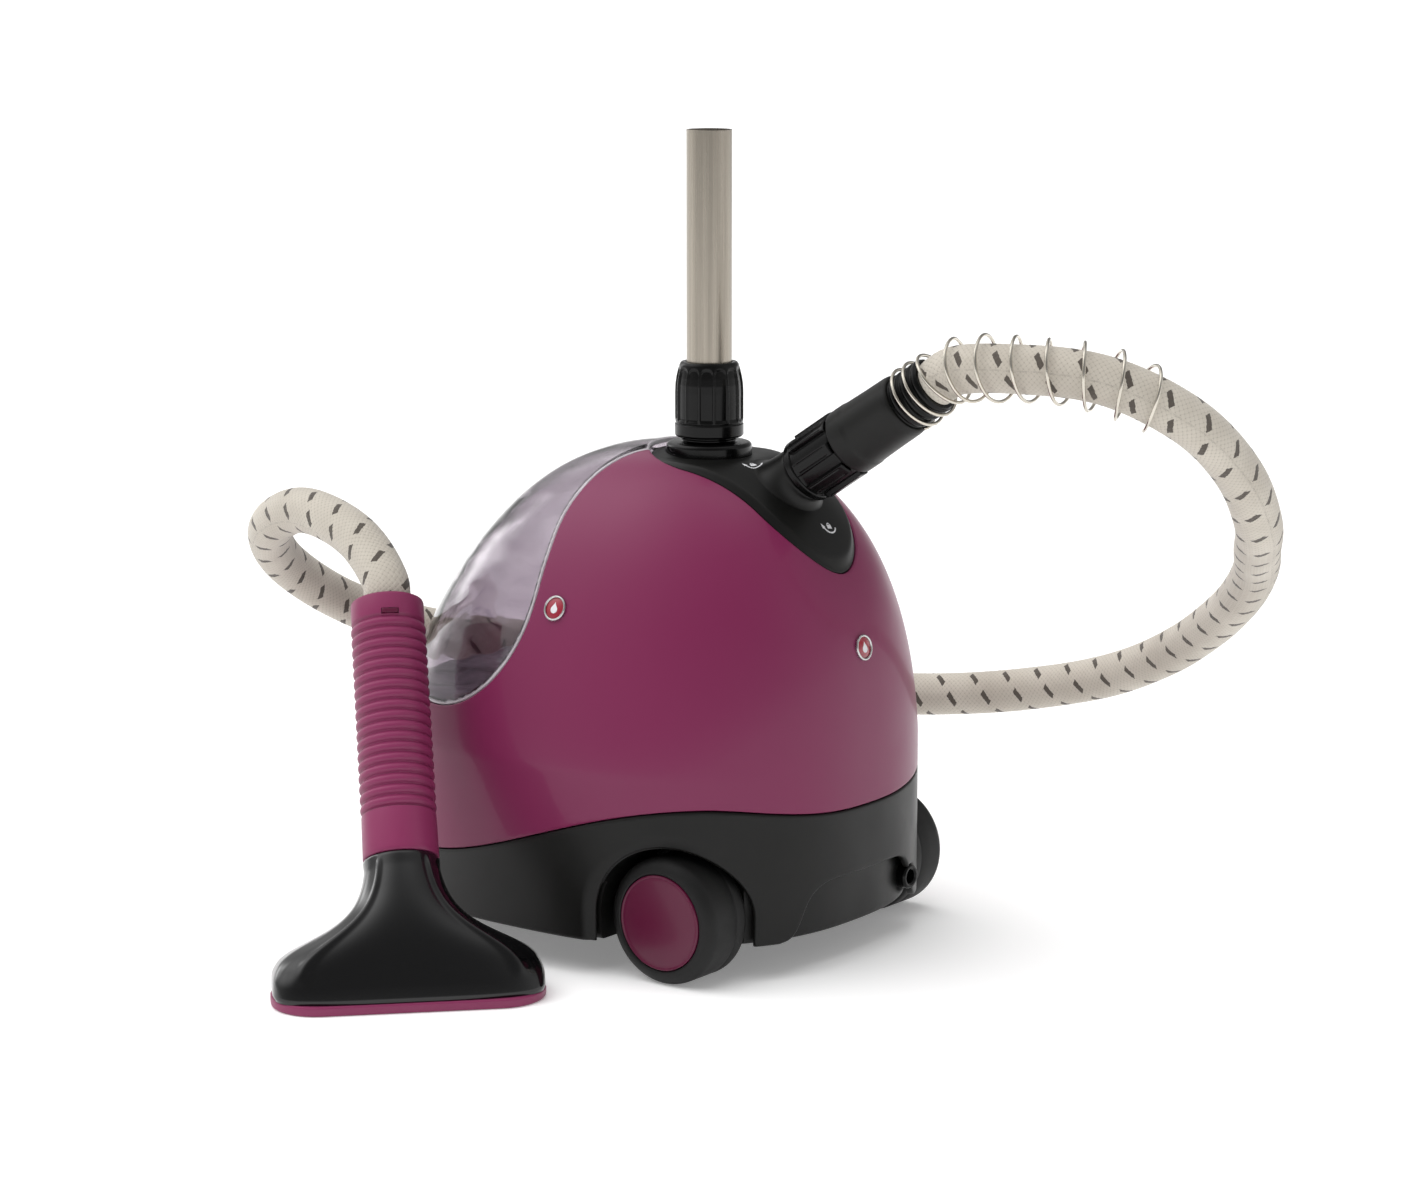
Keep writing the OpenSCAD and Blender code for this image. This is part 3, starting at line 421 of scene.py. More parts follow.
# ------------------------------------------------------------------ hose: route, braid and spring
ROUTE = [(-1, 198, 335), (-16, 246, 331), (-44, 281, 309), (-82, 290, 278), (-120, 282, 246),
         (-161, 260, 224), (-203, 237, 204), (-238, 209, 180), (-266, 175, 155), (-286, 135, 130),
         (-295, 89, 109), (-287, 39, 96), (-267, -7, 90), (-244, -53, 89), (-223, -100, 93),
         (-198, -143, 102), (-162, -178, 113), (-119, -204, 123), (-74, -228, 131), (-32, -254, 142),
         (10, -276, 163), (51, -281, 191), (87, -256, 218), (106, -211, 235), (116, -161, 225)]
HOSE_R, HOSE_STEP, HOSE_SIDES = 13.0, 0.72, 96
STARTS, PITCH = 24.0, 68.0      # yarn bundles that wind each way round the hose, and the length of one wind
KEPT_ENDS = 45                  # points at each end that smoothing leaves alone


def hose_curve():
    """Centre line in even steps through the route's points, straight where it enters handle and sleeve."""
    c = spline([SLEEVE_END - 3.0 * C_DIR, SLEEVE_END, SLEEVE_END + 14.0 * C_DIR, *ROUTE,
                HANDLE_TOP + 12.0 * H_AXIS, HANDLE_TOP, HANDLE_TOP - 3.0 * H_AXIS], 40, 0.5)
    k = KEPT_ENDS
    for _ in range(60):
        c[k:-k] = 0.5 * c[k:-k] + 0.25 * (c[k - 1:-k - 1] + c[k + 1:1 - k])
    s = np.concatenate([[0], np.cumsum(np.linalg.norm(np.diff(c, axis=0), axis=1))])
    even = np.linspace(0, s[-1], int(round(s[-1] / HOSE_STEP)) + 1)
    return np.stack([np.interp(even, s, c[:, k]) for k in range(3)], axis=1), s[-1]


def frames(c, first):
    """Unit tangents, and two sides carried along the line without twist."""
    t = unit(np.gradient(c, axis=0))
    a = np.zeros_like(c)
    v = np.array(first, dtype=float)
    for i in range(len(c)):
        v = unit(v - (v @ t[i]) * t[i])
        a[i] = v
    return t, a, np.cross(t, a)


def tube(c, radius, sides, first, tip=0.0):
    """Rings round the line c, closed by a point tip beyond each end."""
    t, a, b = frames(c, first)
    q = angles(sides)
    radius = np.broadcast_to(radius, (len(c), sides))
    rings = c[:, None] + radius[..., None] * (np.cos(q)[:, None] * a[:, None] + np.sin(q)[:, None] * b[:, None])
    f, last, end = grid_faces(len(c), sides), (len(c) - 1) * sides, len(c) * sides
    for i in range(sides):
        k = (i + 1) % sides
        f += [(k, i, end), (last + i, last + k, end + 1)]
    return np.concatenate([rings.reshape(-1, 3), c[:1] - t[:1] * tip, c[-1:] + t[-1:] * tip]), f


def braid_relief(s, ang):
    """Yarn bundles that pass over and under each other, on a hose that is a little uneven."""
    turn, along = STARTS * ang / (2 * math.pi), s * STARTS / PITCH
    over = np.mod(np.floor(turn + along) + np.floor(turn - along), 2.0) * 2 - 1
    ha, hb = (np.abs(np.sin(math.pi * w)) ** 0.7 for w in (turn + along, turn - along))
    uneven = 0.06 * np.sin(s * 0.09 + 2.0 * np.sin(s * 0.013))
    relief = 0.20 * np.maximum(ha * (1 + 0.35 * over), hb * (1 - 0.35 * over)) - 0.12 + uneven
    fade = np.clip(np.minimum(s, hose_len - s) / 4.0, 0, 1)
    return relief * fade - 0.25 * (1 - fade)


def braid_cotton(name):
    """Off-white braid of crossing yarn bundles, with painted shade where they dip under each other, and dark
    marker yarns that surface as slanted flecks.
    """
    m = Mat(name)
    s, v = m.flow("X"), m.flow("Y")         # metres along the hose, and turns round it
    turn, along = v * STARTS, s * (1000.0 * STARTS / PITCH)
    pa, pb = turn + along, turn - along

    def ridge(p, power=0.6):
        return abs((p * math.pi).math("SINE")).math("POWER", power)

    checker = (pa.math("FLOOR") + pb.math("FLOOR") + 1000.0).math("MODULO", 2.0)
    over_a = ridge(pa) * (checker * 0.7 + 0.65)
    over_b = ridge(pb) * (checker * -0.7 + 1.35)
    cross = over_a.math("MAXIMUM", over_b)
    a_on_top = over_a.math("GREATER_THAN", over_b)
    yarn_a, yarn_b = ridge(pa * 4.0, 0.5), ridge(pb * 4.0, 0.5)
    yarn = yarn_b + a_on_top * (yarn_a - yarn_b)
    height = cross + yarn * 0.35 + m.noise(2600.0, 2.0) * 0.25

    # Marker flecks: each row round the hose has them a third of a period further along. Lengths in mm.
    rows, period, slant, half_length, half_width = 6.0, 21.5, 0.577, 4.3, 1.75
    at_row = (v * rows).math("FLOOR")
    y = (v * rows - at_row - 0.5) * (2 * math.pi * HOSE_R / rows * slant)
    x = ((s * (1000.0 / period) - at_row * (1 / 3) + 100.0).math("FRACT") - 0.5) * period
    x = x + (m.noise(700.0, 1.0) - 0.5) * 1.1
    mark = abs(x + y).math("LESS_THAN", half_length) * abs(x - y).math("LESS_THAN", half_width)

    cotton = m.mix(m.span(m.noise(26.0, 3.0), 0, 1, 0.3, 0.7), srgb(187, 179, 167), srgb(206, 199, 187))
    # Painted shade: the cotton darkens where the bundles dip under the ones crossing over them.
    cotton = m.mix(m.span(cross, 0, 1, 0.1, 0.75), srgb(136, 128, 115), cotton)
    # Painted shade and highlight: the marker yarns are darker between the fine yarns and lighter on their tops.
    marker = m.mix(yarn, srgb(52, 46, 41), srgb(88, 80, 72))
    return m.set(color=m.mix(mark, cotton, marker), rough=m.span(yarn, 0.62, 0.80), sheen=0.25,
                 normal=m.bump(height, 0.35, 0.0004))


MAT["braid"] = braid_cotton("braid_cotton")
line, hose_len = hose_curve()
s_at, ang = np.meshgrid(np.linspace(0, hose_len, len(line)), angles(HOSE_SIDES), indexing="ij")
v, f = tube(line, HOSE_R + braid_relief(s_at, ang), HOSE_SIDES, X_DIR)
uv = np.stack([s_at.ravel() / 1000.0, ang.ravel() / (2 * math.pi)], axis=1)
uv = np.concatenate([uv, [[0, 0.5], [hose_len / 1000.0, 0.5]]])
hose = mesh_piece("hose_braid", v, f, "braid", uv=uv, sharp=70, slot="braid", replaces="hose")

# The kink spring winds on the sleeve from just past the cuff, then on the hose; at first its pitch opens out.
SPRING_START, SPRING_R, WIRE_R = 81.5, 17.2, 0.95
ON_SLEEVE = 100.0 - SPRING_START
SPRING_TURNS, OPENING_TURNS, CLOSE_PITCH, OPEN_PITCH = 10, 4, 4.5, 17.6
turns = np.linspace(0, SPRING_TURNS, SPRING_TURNS * 48 + 1)
travel = np.where(turns < OPENING_TURNS,
                  CLOSE_PITCH * turns + (OPEN_PITCH - CLOSE_PITCH) / (2 * OPENING_TURNS) * turns ** 2,
                  (CLOSE_PITCH + OPEN_PITCH) / 2 * OPENING_TURNS + OPEN_PITCH * (turns - OPENING_TURNS))
on_sleeve = C_START + (SPRING_START + travel)[:, None] * C_DIR
k = np.clip((travel - ON_SLEEVE) / hose_len * (len(line) - 1), 0, len(line) - 2)
i = k.astype(int)
on_hose = line[i] + (k - i)[:, None] * (line[i + 1] - line[i])
spine = np.where((travel <= ON_SLEEVE)[:, None], on_sleeve, on_hose)
_, side_a, side_b = frames(spine, X_DIR)
wound = 2 * math.pi * (turns + 0.25)[:, None]
coil_r = (SPRING_R + 0.5 * np.sin(turns * 1.7))[:, None]
coil = spine + coil_r * (np.cos(wound) * side_a + np.sin(wound) * side_b)
v, f = tube(coil, WIRE_R, 14, (0.3, 0.2, 1.0), 0.6 * WIRE_R)
spring = mesh_piece("kink_spring", v, f, "wire", sharp=60, slot="spring_wire", replaces="strain_spring")

# ------------------------------------------------------------------ the body's outer form
TOP, START, Z_LOW = 280.0, 113.0, 18.0      # the dome's crown, its start above the wall, and the wall's foot
N_WALL, N_DOME = 44, 104                    # rows of points up the wall and up the dome
FAR = 50.0                                  # a field's value where its outline can't reach


def reach(z, inset=0.0):
    """Half width, front and rear reach, and centre of the form's outline at a height."""
    t = np.clip((z - START) / (TOP - inset - START), 0.0, 0.9999)
    hw = (126.0 - inset) * (1 - t ** 1.2) ** (1 / 2.75)
    fr = (152.0 - inset) * (1 - t ** 1.16) ** (1 / 2.7)
    rr = (145.0 - inset) * (1 - t ** 2.3) ** (1 / 2.1)
    return hw, fr, rr, -35.0 + 19.0 * t * t


def surf(a, z):
    """Point of the form at angle a round it and height z: an outline |x|^2.5 + |y|^2.5 = 1."""
    hw, fr, rr, cy = reach(z)
    c, s = np.cos(a), np.sin(a)
    x = hw * np.sign(c) * np.abs(c) ** 0.8
    y = cy + np.where(s > 0, rr, fr) * np.sign(s) * np.abs(s) ** 0.8
    return np.stack([x, y, z + 0 * x], axis=-1)


def normals(a, z):
    """Outward normals of the form, from small steps along it and up it."""
    e = 0.004
    up = surf(a, np.minimum(z + 0.4, TOP - 0.01)) - surf(a, np.maximum(z - 0.4, Z_LOW - 5))
    return unit(np.cross(surf(a + e, z) - surf(a - e, z), up))


def dome_z(x, y):
    """Height of the dome over a point of the plan, by halving."""
    lo, hi = np.full(np.shape(x), START), np.full(np.shape(x), TOP - 0.001)
    for _ in range(34):
        m = (lo + hi) / 2
        hw, fr, rr, cy = reach(m)
        yy = y - cy
        inside = np.abs(x / hw) ** 2.5 + np.abs(yy / np.where(yy > 0, rr, fr)) ** 2.5 < 1
        lo, hi = np.where(inside, m, lo), np.where(inside, hi, m)
    return lo


def row_z(r):
    low = Z_LOW + (START - Z_LOW) * r / N_WALL
    up = START + (TOP - START) * np.sin(np.radians(90.0 * np.clip((r - N_WALL) / N_DOME, 0, 1)))
    return np.where(r < N_WALL, low, up)


def even_angles(n):
    """Angles of n points an even distance apart round the form's wall."""
    q = (np.arange(20000) + 0.5) / 20000 * 2 * math.pi
    p = surf(q, np.full_like(q, 100.0))
    s = np.concatenate([[0], np.cumsum(np.linalg.norm(np.roll(p, -1, axis=0) - p, axis=1))])
    return np.interp(np.arange(n) / n * s[-1], s, np.append(q, q[0] + 2 * math.pi))


def slopes(fn, x, y, e):
    return (fn(x + e, y) - fn(x - e, y)) / (2 * e), (fn(x, y + e) - fn(x, y - e)) / (2 * e)


def plan_normals(height, x, y, e=0.3):
    """Normals of the surface z = height(x, y)."""
    gx, gy = slopes(height, x, y, e)
    return unit(np.stack([-gx, -gy, np.ones_like(gx)], axis=-1))


def without(v, n):
    """The part of v that lies across the normal n."""
    return v - (v * n).sum(axis=-1, keepdims=True) * n


# ------------------------------------------------------------------ outlines, as fields with a positive side
def seam_z(y):
    """Height of the seam between the casing and the base."""
    return 53.0 + 44.0 * smooth01((y + 125.0) / 200.0) - 9.0 * np.maximum(0.0, (y - 70.0) / 40.0) ** 2


def f_seam(p):
    y = p[:, 1]
    return (p[:, 2] - seam_z(y)) / np.sqrt(1 + (seam_z(y + 0.5) - seam_z(y - 0.5)) ** 2)


# The tank's outline from the side, (y, z): down from the crown, round two bends, and forwards.
TANK_LINE = [(-19.0, 330.0)]
TANK_LINE += [(-19 + 25 * math.cos(t), 236 + 41.5 * math.sin(t)) for t in np.radians(range(90, 181, 3))]
TANK_LINE += [(-109 + 65 * math.cos(t), 203 + 67.5 * math.sin(t)) for t in np.radians(range(0, -91, -3))]
TANK_LINE = np.array(TANK_LINE + [(-260.0, 135.5)])


def signed_to_line(q, points):
    """Distance from each 2-D point to a line of points, positive on its right."""
    best, sign = np.full(len(q), 1e9), np.zeros(len(q))
    for a, b in zip(points[:-1], points[1:]):
        ab = b - a
        t = np.clip(((q - a) @ ab) / (ab @ ab), 0, 1)
        d = np.hypot(*(q - a - t[:, None] * ab).T)
        cross = ab[0] * (q[:, 1] - a[1]) - ab[1] * (q[:, 0] - a[0])
        nearer = d < best - 1e-9
        best, sign = np.where(nearer, d, best), np.where(nearer, np.sign(-cross), sign)
    return best * sign


def f_tank(p):
    return signed_to_line(p[:, 1:3], TANK_LINE)


def saddle_sd(x, y):
    """Distance to the saddle's plan outline, two circles and their tangents, positive inside."""
    (ya, ra), (yb, rb) = (11.0, 42.0), (56.0, 36.5)
    h = yb - ya
    px, py = np.abs(x), y - ya
    b = (ra - rb) / h
    a = math.sqrt(1 - b * b)
    k = -b * px + a * py
    beyond = np.where(k > a * h, np.hypot(px, py - h) - rb, px * a + py * b - ra)
    return -np.where(k < 0, np.hypot(px, py) - ra, beyond)


def f_saddle(p):
    return saddle_sd(p[:, 0], p[:, 1])


def f_front_hole(p, z, r):
    return np.where(p[:, 1] < -100, np.hypot(p[:, 0], p[:, 2] - z) - r, FAR)


def on_surface(fn, a, z):
    """The field fn as a distance measured along the outer form."""
    p, e = surf(a, z), 0.05
    v = fn(p)
    g = without(np.stack([(fn(p + e * axis) - v) / e for axis in np.eye(3)], axis=-1), normals(a, z))
    return v / np.maximum(np.linalg.norm(g, axis=1), 0.25)


# ------------------------------------------------------------------ shells cut from the form
class Patch:
    """Part of a curved form: cut by fields in its own two coordinates, then given thickness."""

    def __init__(self, columns, rows, around):
        self.around = around
        self.a = np.tile(columns, len(rows)).astype(float)
        self.r = np.repeat(rows, len(columns)).astype(float)
        self.faces = [list(f) for f in grid_faces(len(rows), len(columns), wrap=around)]

    def w(self, r):
        return row_z(r) if self.around else r

    def shape(self, a, w):
        """Points and normals of the form: here of the body round its axis, or of the dome in plan."""
        if self.around:
            return surf(a, w), normals(a, w)
        return np.stack([a, w, dome_z(a, w)], axis=-1), plan_normals(dome_z, a, w)

    def cut(self, field, level, keep_below=False):
        """Splits faces where the field crosses a level; what lies below is dropped unless keep_below."""
        a, r = self.a, self.r
        f = field(a, self.w(r)) - level
        f = np.where(np.abs(f) < 1e-6, 1e-6, f)
        pos = (f > 0).tolist()
        kept, crossing, edges = [], [], {}
        for face in self.faces:
            n = sum(pos[v] for v in face)
            if n == len(face) or (n == 0 and keep_below):
                kept.append(face)
            elif n:
                crossing.append(face)
        for face in crossing:
            for u, v in zip(face, face[1:] + face[:1]):
                if pos[u] != pos[v]:
                    edges.setdefault((min(u, v), max(u, v)), len(a) + len(edges))
        if edges:
            u, v = np.array(list(edges)).T
            da, dr = a[v] - a[u], r[v] - r[u]
            if self.around:
                da = (da + math.pi) % (2 * math.pi) - math.pi
            lo, hi = np.zeros(len(u)), np.ones(len(u))
            flo, fhi = f[u], f[v]
            for _ in range(5):
                t = lo + (hi - lo) * np.clip(flo / (flo - fhi), 0.02, 0.98)
                fm = field(a[u] + t * da, self.w(r[u] + t * dr)) - level
                same = np.sign(fm) == np.sign(flo)
                lo, flo = np.where(same, t, lo), np.where(same, fm, flo)
                hi, fhi = np.where(same, hi, t), np.where(same, fhi, fm)
            self.a = np.concatenate([a, a[u] + t * da])
            self.r = np.concatenate([r, r[u] + t * dr])
        for face in crossing:
            loop, mark = [], []
            for u, v in zip(face, face[1:] + face[:1]):
                loop.append(u)
                mark.append(1 if pos[u] else -1)
                if pos[u] != pos[v]:
                    loop.append(edges[(min(u, v), max(u, v))])
                    mark.append(0)
            if mark.count(0) != 2:
                if mark.count(1) >= mark.count(-1) or keep_below:
                    kept.append(face)
                continue
            z0 = mark.index(0)
            z1 = mark.index(0, z0 + 1)
            for part in (list(range(z0, z1 + 1)), list(range(z1, len(loop))) + list(range(z0 + 1))):
                side = [mark[i] for i in part if mark[i]]
                if side and (side[0] > 0 or keep_below):
                    kept.append([loop[i] for i in part])
        self.faces = kept

    def solid(self, field, thickness, edge, lift=None):
        """Closed shell: rounded over where the field nears 0, raised by lift, and thickness deep."""
        used = sorted({v for f in self.faces for v in f})
        index = {v: i for i, v in enumerate(used)}
        faces = [[index[v] for v in f] for f in self.faces]
        a, w = self.a[used], self.w(self.r[used])
        s = field(a, w)
        p, n = self.shape(a, w)
        drop = edge - np.sqrt(np.maximum(0.0, edge ** 2 - np.clip(edge - s, 0, edge) ** 2))
        if lift:
            drop = drop - lift(a, w)
        # The band within 1.5 mm of the edge, which the tank's material paints as a highlight.
        self.painted_highlight_rim = np.tile(np.column_stack([smooth01((1.5 - s) / 0.5), 0 * s]), (2, 1))
        m = len(used)
        directed = {(u, v): None for f in faces for u, v in zip(f, f[1:] + f[:1])}
        sides = [[v, u, u + m, v + m] for u, v in directed if (v, u) not in directed]
        inner = [[v + m for v in f[::-1]] for f in faces]
        return np.concatenate([p - n * drop[:, None], p - n * thickness]), faces + inner + sides


def wall_patch(field, r0, r1, edge):
    """The form between two rows, cut by the field and finer where its edge is rounded."""
    patch = Patch(even_angles(480), np.arange(r0, r1 + 1), around=True)
    patch.cut(field, 0.0)
    for share in (0.12, 0.4, 0.8):
        patch.cut(field, edge * share, keep_below=True)
    return patch


SWITCH_Z, LAMP_Z = 92.0, 116.0
CROWN_ROW = N_WALL + N_DOME - 1


def body_field(a, z):
    p = surf(a, z)
    return np.minimum.reduce([on_surface(f_seam, a, z) - 0.2, -on_surface(f_tank, a, z),
                              -on_surface(f_saddle, a, z) - 0.2,
                              f_front_hole(p, SWITCH_Z, 17.0), f_front_hole(p, LAMP_Z, 3.3)])


v, f = wall_patch(body_field, 12, CROWN_ROW, 0.9).solid(body_field, 3.0, 0.9)
mesh_piece("plum_body", v, f, "body", replaces="body_shell", slot="body")

# ------------------------------------------------------------------ tank
TANK_WALL, TANK_GAP = 2.6, 0.4


def tank_field(a, z):
    return np.minimum(on_surface(f_tank, a, z), -on_surface(f_saddle, a, z)) - TANK_GAP


patch = wall_patch(tank_field, N_WALL, CROWN_ROW, 1.1)
v, f = patch.solid(tank_field, TANK_WALL, 1.1)
# Through the flow map the tank's rim gets a painted highlight.
mesh_piece("tank_shell", v, f, "tank", "water_tank", uv=patch.painted_highlight_rim, replaces="tank", slot="tank")

tank_steps = np.concatenate([[0], np.cumsum(np.hypot(*np.diff(TANK_LINE, axis=0).T))])


def tank_line_at(s):
    """Point and outward normal of the tank's rear and lower wall at a distance along its side outline."""
    def at(d):
        return np.array([np.interp(d, tank_steps, TANK_LINE[:, k]) for k in (0, 1)])
    (y, z), (ty, tz) = at(s), at(s + 0.8) - at(s - 0.8)
    k = np.hypot(ty, tz)
    ny, nz = -tz / k, ty / k
    return y - TANK_GAP * ny, z - TANK_GAP * nz, ny, nz


class BackWall(Patch):
    """The tank's wall that faces the machine: a is across the machine, w along the tank's side outline."""

    def shape(self, a, w):
        y, z, ny, nz = tank_line_at(w)
        return np.stack([a, y, z], axis=-1), np.stack([0 * ny, ny, nz], axis=-1)


def back_wall_field(a, w):
    y, z, ny, nz = tank_line_at(w)
    hw, fr, rr, cy = reach(np.maximum(z, START), 1.2)
    share = np.abs((y - cy) / np.where(y > cy, rr, fr))
    half = hw * np.clip(1 - share ** 2.5, 0, 1) ** 0.4
    half = np.where((z > TOP - 2) | (share > 0.999), -5.0, half)
    return np.minimum(half - np.abs(a), -saddle_sd(a, y) - 0.6)


wall = BackWall(np.linspace(-121, 121, 89), np.linspace(40, tank_steps[-1] - 30, 120), around=False)
wall.cut(back_wall_field, 0.0)
v, f = wall.solid(back_wall_field, TANK_WALL, 0.3)
# The walls inside the tank take the paler copy of its plastic, painted light.
mesh_piece("tank_back_wall", v, f, "tank_inner_painted_light", "water_tank", replaces="tank", slot="tank")
v, f = revolve(rounded([(10.5, 124.4), (13.0, 124.4), (13.0, 136.0), (10.5, 136.0)], 0.4), 72, closed=True)
mesh_piece("tank_neck", v + (0, -112.0, 0), f, "tank_inner_painted_light", "water_tank", replaces="tank", slot="tank")

# ------------------------------------------------------------------ saddle, with the flare of the hose connector
PLATEAU, BEVEL = 1.8, 4.6       # height of the saddle's top over the dome, and width of the slope up to it
BOSS_FLOOR = 273.4              # the flat round the pole's boss
POLE_HOLE_R = 24.3


def saddle_field(x, y):
    e = 0.15
    rise = np.stack([*slopes(saddle_sd, x, y, e), 0 * x], axis=-1)
    rise = without(rise, plan_normals(dome_z, x, y, e))
    edge = saddle_sd(x, y) / np.maximum(np.linalg.norm(rise, axis=-1), 0.3) - 0.2
    return np.minimum(edge, np.hypot(x, y) - POLE_HOLE_R)


def bevel(x, y):
    return smooth01(saddle_sd(x, y) / BEVEL) * (PLATEAU + 0.6) - 0.6


def saddle_height(x, y):
    return dome_z(x, y) + bevel(x, y)


def saddle_lift(x, y):
    """The bevel, cut down softly to the flat round the pole's boss."""
    height = saddle_height(x, y)
    level = -0.9 * np.log(np.exp(-(height - BOSS_FLOOR) / 0.9) + 1.0) + BOSS_FLOOR
    return np.maximum(bevel(x, y) + np.minimum(level - height, 0.0), -4.3)


patch = Patch(np.linspace(-42, 42, 113), np.linspace(-34, 94, 172), around=False)
patch.cut(saddle_field, 0.0)
for level in (0.1, 0.35, 0.75, 1.6, 2.8, 4.2):
    patch.cut(saddle_field, level, keep_below=True)
v, f = patch.solid(saddle_field, 5.4, 0.8, saddle_lift)
saddle = mesh_piece("saddle_plate", v, f, "black", replaces="top_saddle", slot="base")

FLARE_SIDES = 120
phi = angles(FLARE_SIDES)[:, None]
ring_dir = np.cos(phi) * X_DIR + np.sin(phi) * C_SIDE
foot_r = 22.5 + 1.0 * np.sin(phi)
lo, hi = np.full((FLARE_SIDES, 1), -60.0), np.zeros((FLARE_SIDES, 1))
for _ in range(30):
    m = (lo + hi) / 2
    q = C_START + m * C_DIR + foot_r * ring_dir
    above = q[:, 2:] > saddle_height(q[:, :1], q[:, 1:2])
    hi, lo = np.where(above, m, hi), np.where(above, lo, m)
foot = C_START + lo * C_DIR + foot_r * ring_dir
foot_n = plan_normals(saddle_height, foot[:, 0], foot[:, 1])
tangent = unit(without(ring_dir, foot_n))
neck_top = C_START - 2.0 * C_DIR + 16.3 * ring_dir
span = np.linalg.norm(foot - neck_top, axis=1)[:, None]
rings = [C_START - d * C_DIR + r * ring_dir for d, r in ((6.0, 15.1), (1.2, 15.1), (0.9, 15.5), (1.1, 16.0))]
for t in np.arange(19) / 18:
    h00, h10 = 2 * t ** 3 - 3 * t ** 2 + 1, t ** 3 - 2 * t ** 2 + t
    h01, h11 = -2 * t ** 3 + 3 * t ** 2, t ** 3 - t ** 2
    rings.append(h00 * neck_top - h10 * 1.15 * span * C_DIR + h01 * foot + h11 * 0.95 * span * tangent)
rings += [foot + tangent * 1.0 - foot_n * 0.5, foot - foot_n * 2.5, 0.5 * foot + 0.5 * rings[0] - foot_n * 4.0]
flare = band("connector_flare", rings, "black", sharp=50, slot="base")

# ------------------------------------------------------------------ base: skirt, tub and wells
WELL_Y, WELL_Z, WELL_R = 51.5, 36.5, 38.5
REAR_Y = 60.0                                   # the recess and the gland's notch are behind this
GLAND = np.array([-53.0, 97.0, 34.0])
# half outline of the recess at the rear, (x, z), with a guide point at each end
RECESS = spline([(-25, 51), (-5, 51), (15, 51), (27, 50.9), (35, 50.0), (42, 47.2), (47, 42.8), (50.5, 37),
                 (53.2, 31), (56.2, 25.5), (60.5, 21.6), (66, 19.9), (70, 17), (74, 14.1)], 5, 0)


def arch_distance(p):
    """Distance outside the wheel well's arch."""
    return np.hypot(p[:, 1] - WELL_Y, np.maximum(p[:, 2] - WELL_Z, 0)) - WELL_R


def arch_field(a, z):
    return arch_distance(surf(a, z))


def arch_lip(a, z):
    """The arch's soft bevel: widest over its front and crown, gone at its rear edge."""
    p = surf(a, z)
    lip = 1 - smooth01(arch_distance(p) / 9.0)
    return -2.6 * lip ** 1.4 * smooth01((WELL_Y + 30.0 - p[:, 1]) / 34.0)


def skirt_field(a, z):
    p = surf(a, z)
    x, behind = p[:, 0], p[:, 1] > REAR_Y
    recess = np.where(behind, -signed_to_line(np.stack([np.abs(x), z], axis=-1), RECESS), FAR)
    notch = np.where(behind & (x < 0), np.hypot(x - GLAND[0], z - GLAND[2]) - 7.3, FAR)
    return np.minimum.reduce([-on_surface(f_seam, a, z) - 0.2, z - 20.0, arch_distance(p), recess, notch])


patch = wall_patch(skirt_field, 0, N_WALL, 1.6)
for level in (4.0, 8.0):
    patch.cut(arch_field, level, keep_below=True)
v, f = patch.solid(skirt_field, 3.4, 1.6, arch_lip)
mesh_piece("base_skirt", v, f, "black", replaces="base_shell", slot="base")

TUB_SIDES = 240


def loft(levels):
    """Points and faces of a closed form through the wall's plan outline, as (inset, z) levels."""
    ang, z, e = even_angles(TUB_SIDES), np.full(TUB_SIDES, 100.0), 0.002
    t = surf(ang + e, z) - surf(ang - e, z)
    across = unit(np.stack([t[:, 1], -t[:, 0], 0 * z], axis=-1))
    rings = [(surf(ang, z) - across * inset) * (1, 1, 0) + (0, 0, level) for inset, level in levels]
    last = (len(rings) - 1) * TUB_SIDES
    caps = [tuple(range(TUB_SIDES))[::-1], tuple(range(last, last + TUB_SIDES))]
    return np.concatenate(rings), grid_faces(len(rings), TUB_SIDES) + caps


def well_cutter(grow, x_in):
    """Both wheel wells, from x_in outwards."""
    r = WELL_R + grow
    outline = arc(WELL_Y, WELL_Z, r, 0, math.pi, 61) + [(WELL_Y - r, 5.0), (WELL_Y + r, 5.0)]
    n = len(outline)
    v, f = [], []
    for k, side in enumerate((-1, 1)):
        v += [(x, y, z) for x in (side * x_in, side * 200.0) for y, z in outline]
        quads = grid_faces(2, n) + [tuple(range(n))[::-1], tuple(range(n, 2 * n))]
        f += [tuple(i + 2 * k * n for i in quad) for quad in quads]
    return cutter(v, f)


def disc_cutter(places, profile):
    """Upright turned shapes, one at each (x, y)."""
    v, f = revolve(profile, 64)
    faces = [tuple(i + k * len(v) for i in q) for k in range(len(places)) for q in f]
    return cutter(np.concatenate([v + (x, y, 0.0) for x, y in places]), faces, COINCIDENT)


CASTERS = [(62.0, -125.0), (-62.0, -125.0)]
SCREWS = [(88, -60), (-88, -60), (40, 20), (-40, 20)]
inside = carve(cutter(*loft([(10.0, 23.6), (10.0, 56.2), (6.0, 56.4), (6.0, 90.0)])),
               [well_cutter(3.0, 75.0), disc_cutter(CASTERS, [(0, 0), (24.5, 0), (24.5, 40), (0, 40)])], 38)
v, f = loft([(10.0, 20.0), (8.6, 20.2), (7.6, 20.9), (7.1, 22.0), (7.0, 23.5), (7.0, 53.0), (3.6, 53.2),
             (3.6, 80.0)])
carve(mesh_piece("base_tub", v, f, "black", slot="base"),
      [inside, well_cutter(0.0, 78.0),
       disc_cutter(CASTERS, [(0, 0), (22, 0), (22, 37), (4.1, 37), (4.1, 70), (0, 70)]),
       disc_cutter(SCREWS, [(0, 0), (4.3, 0), (4.3, 21.6), (0, 21.6)])], 30)

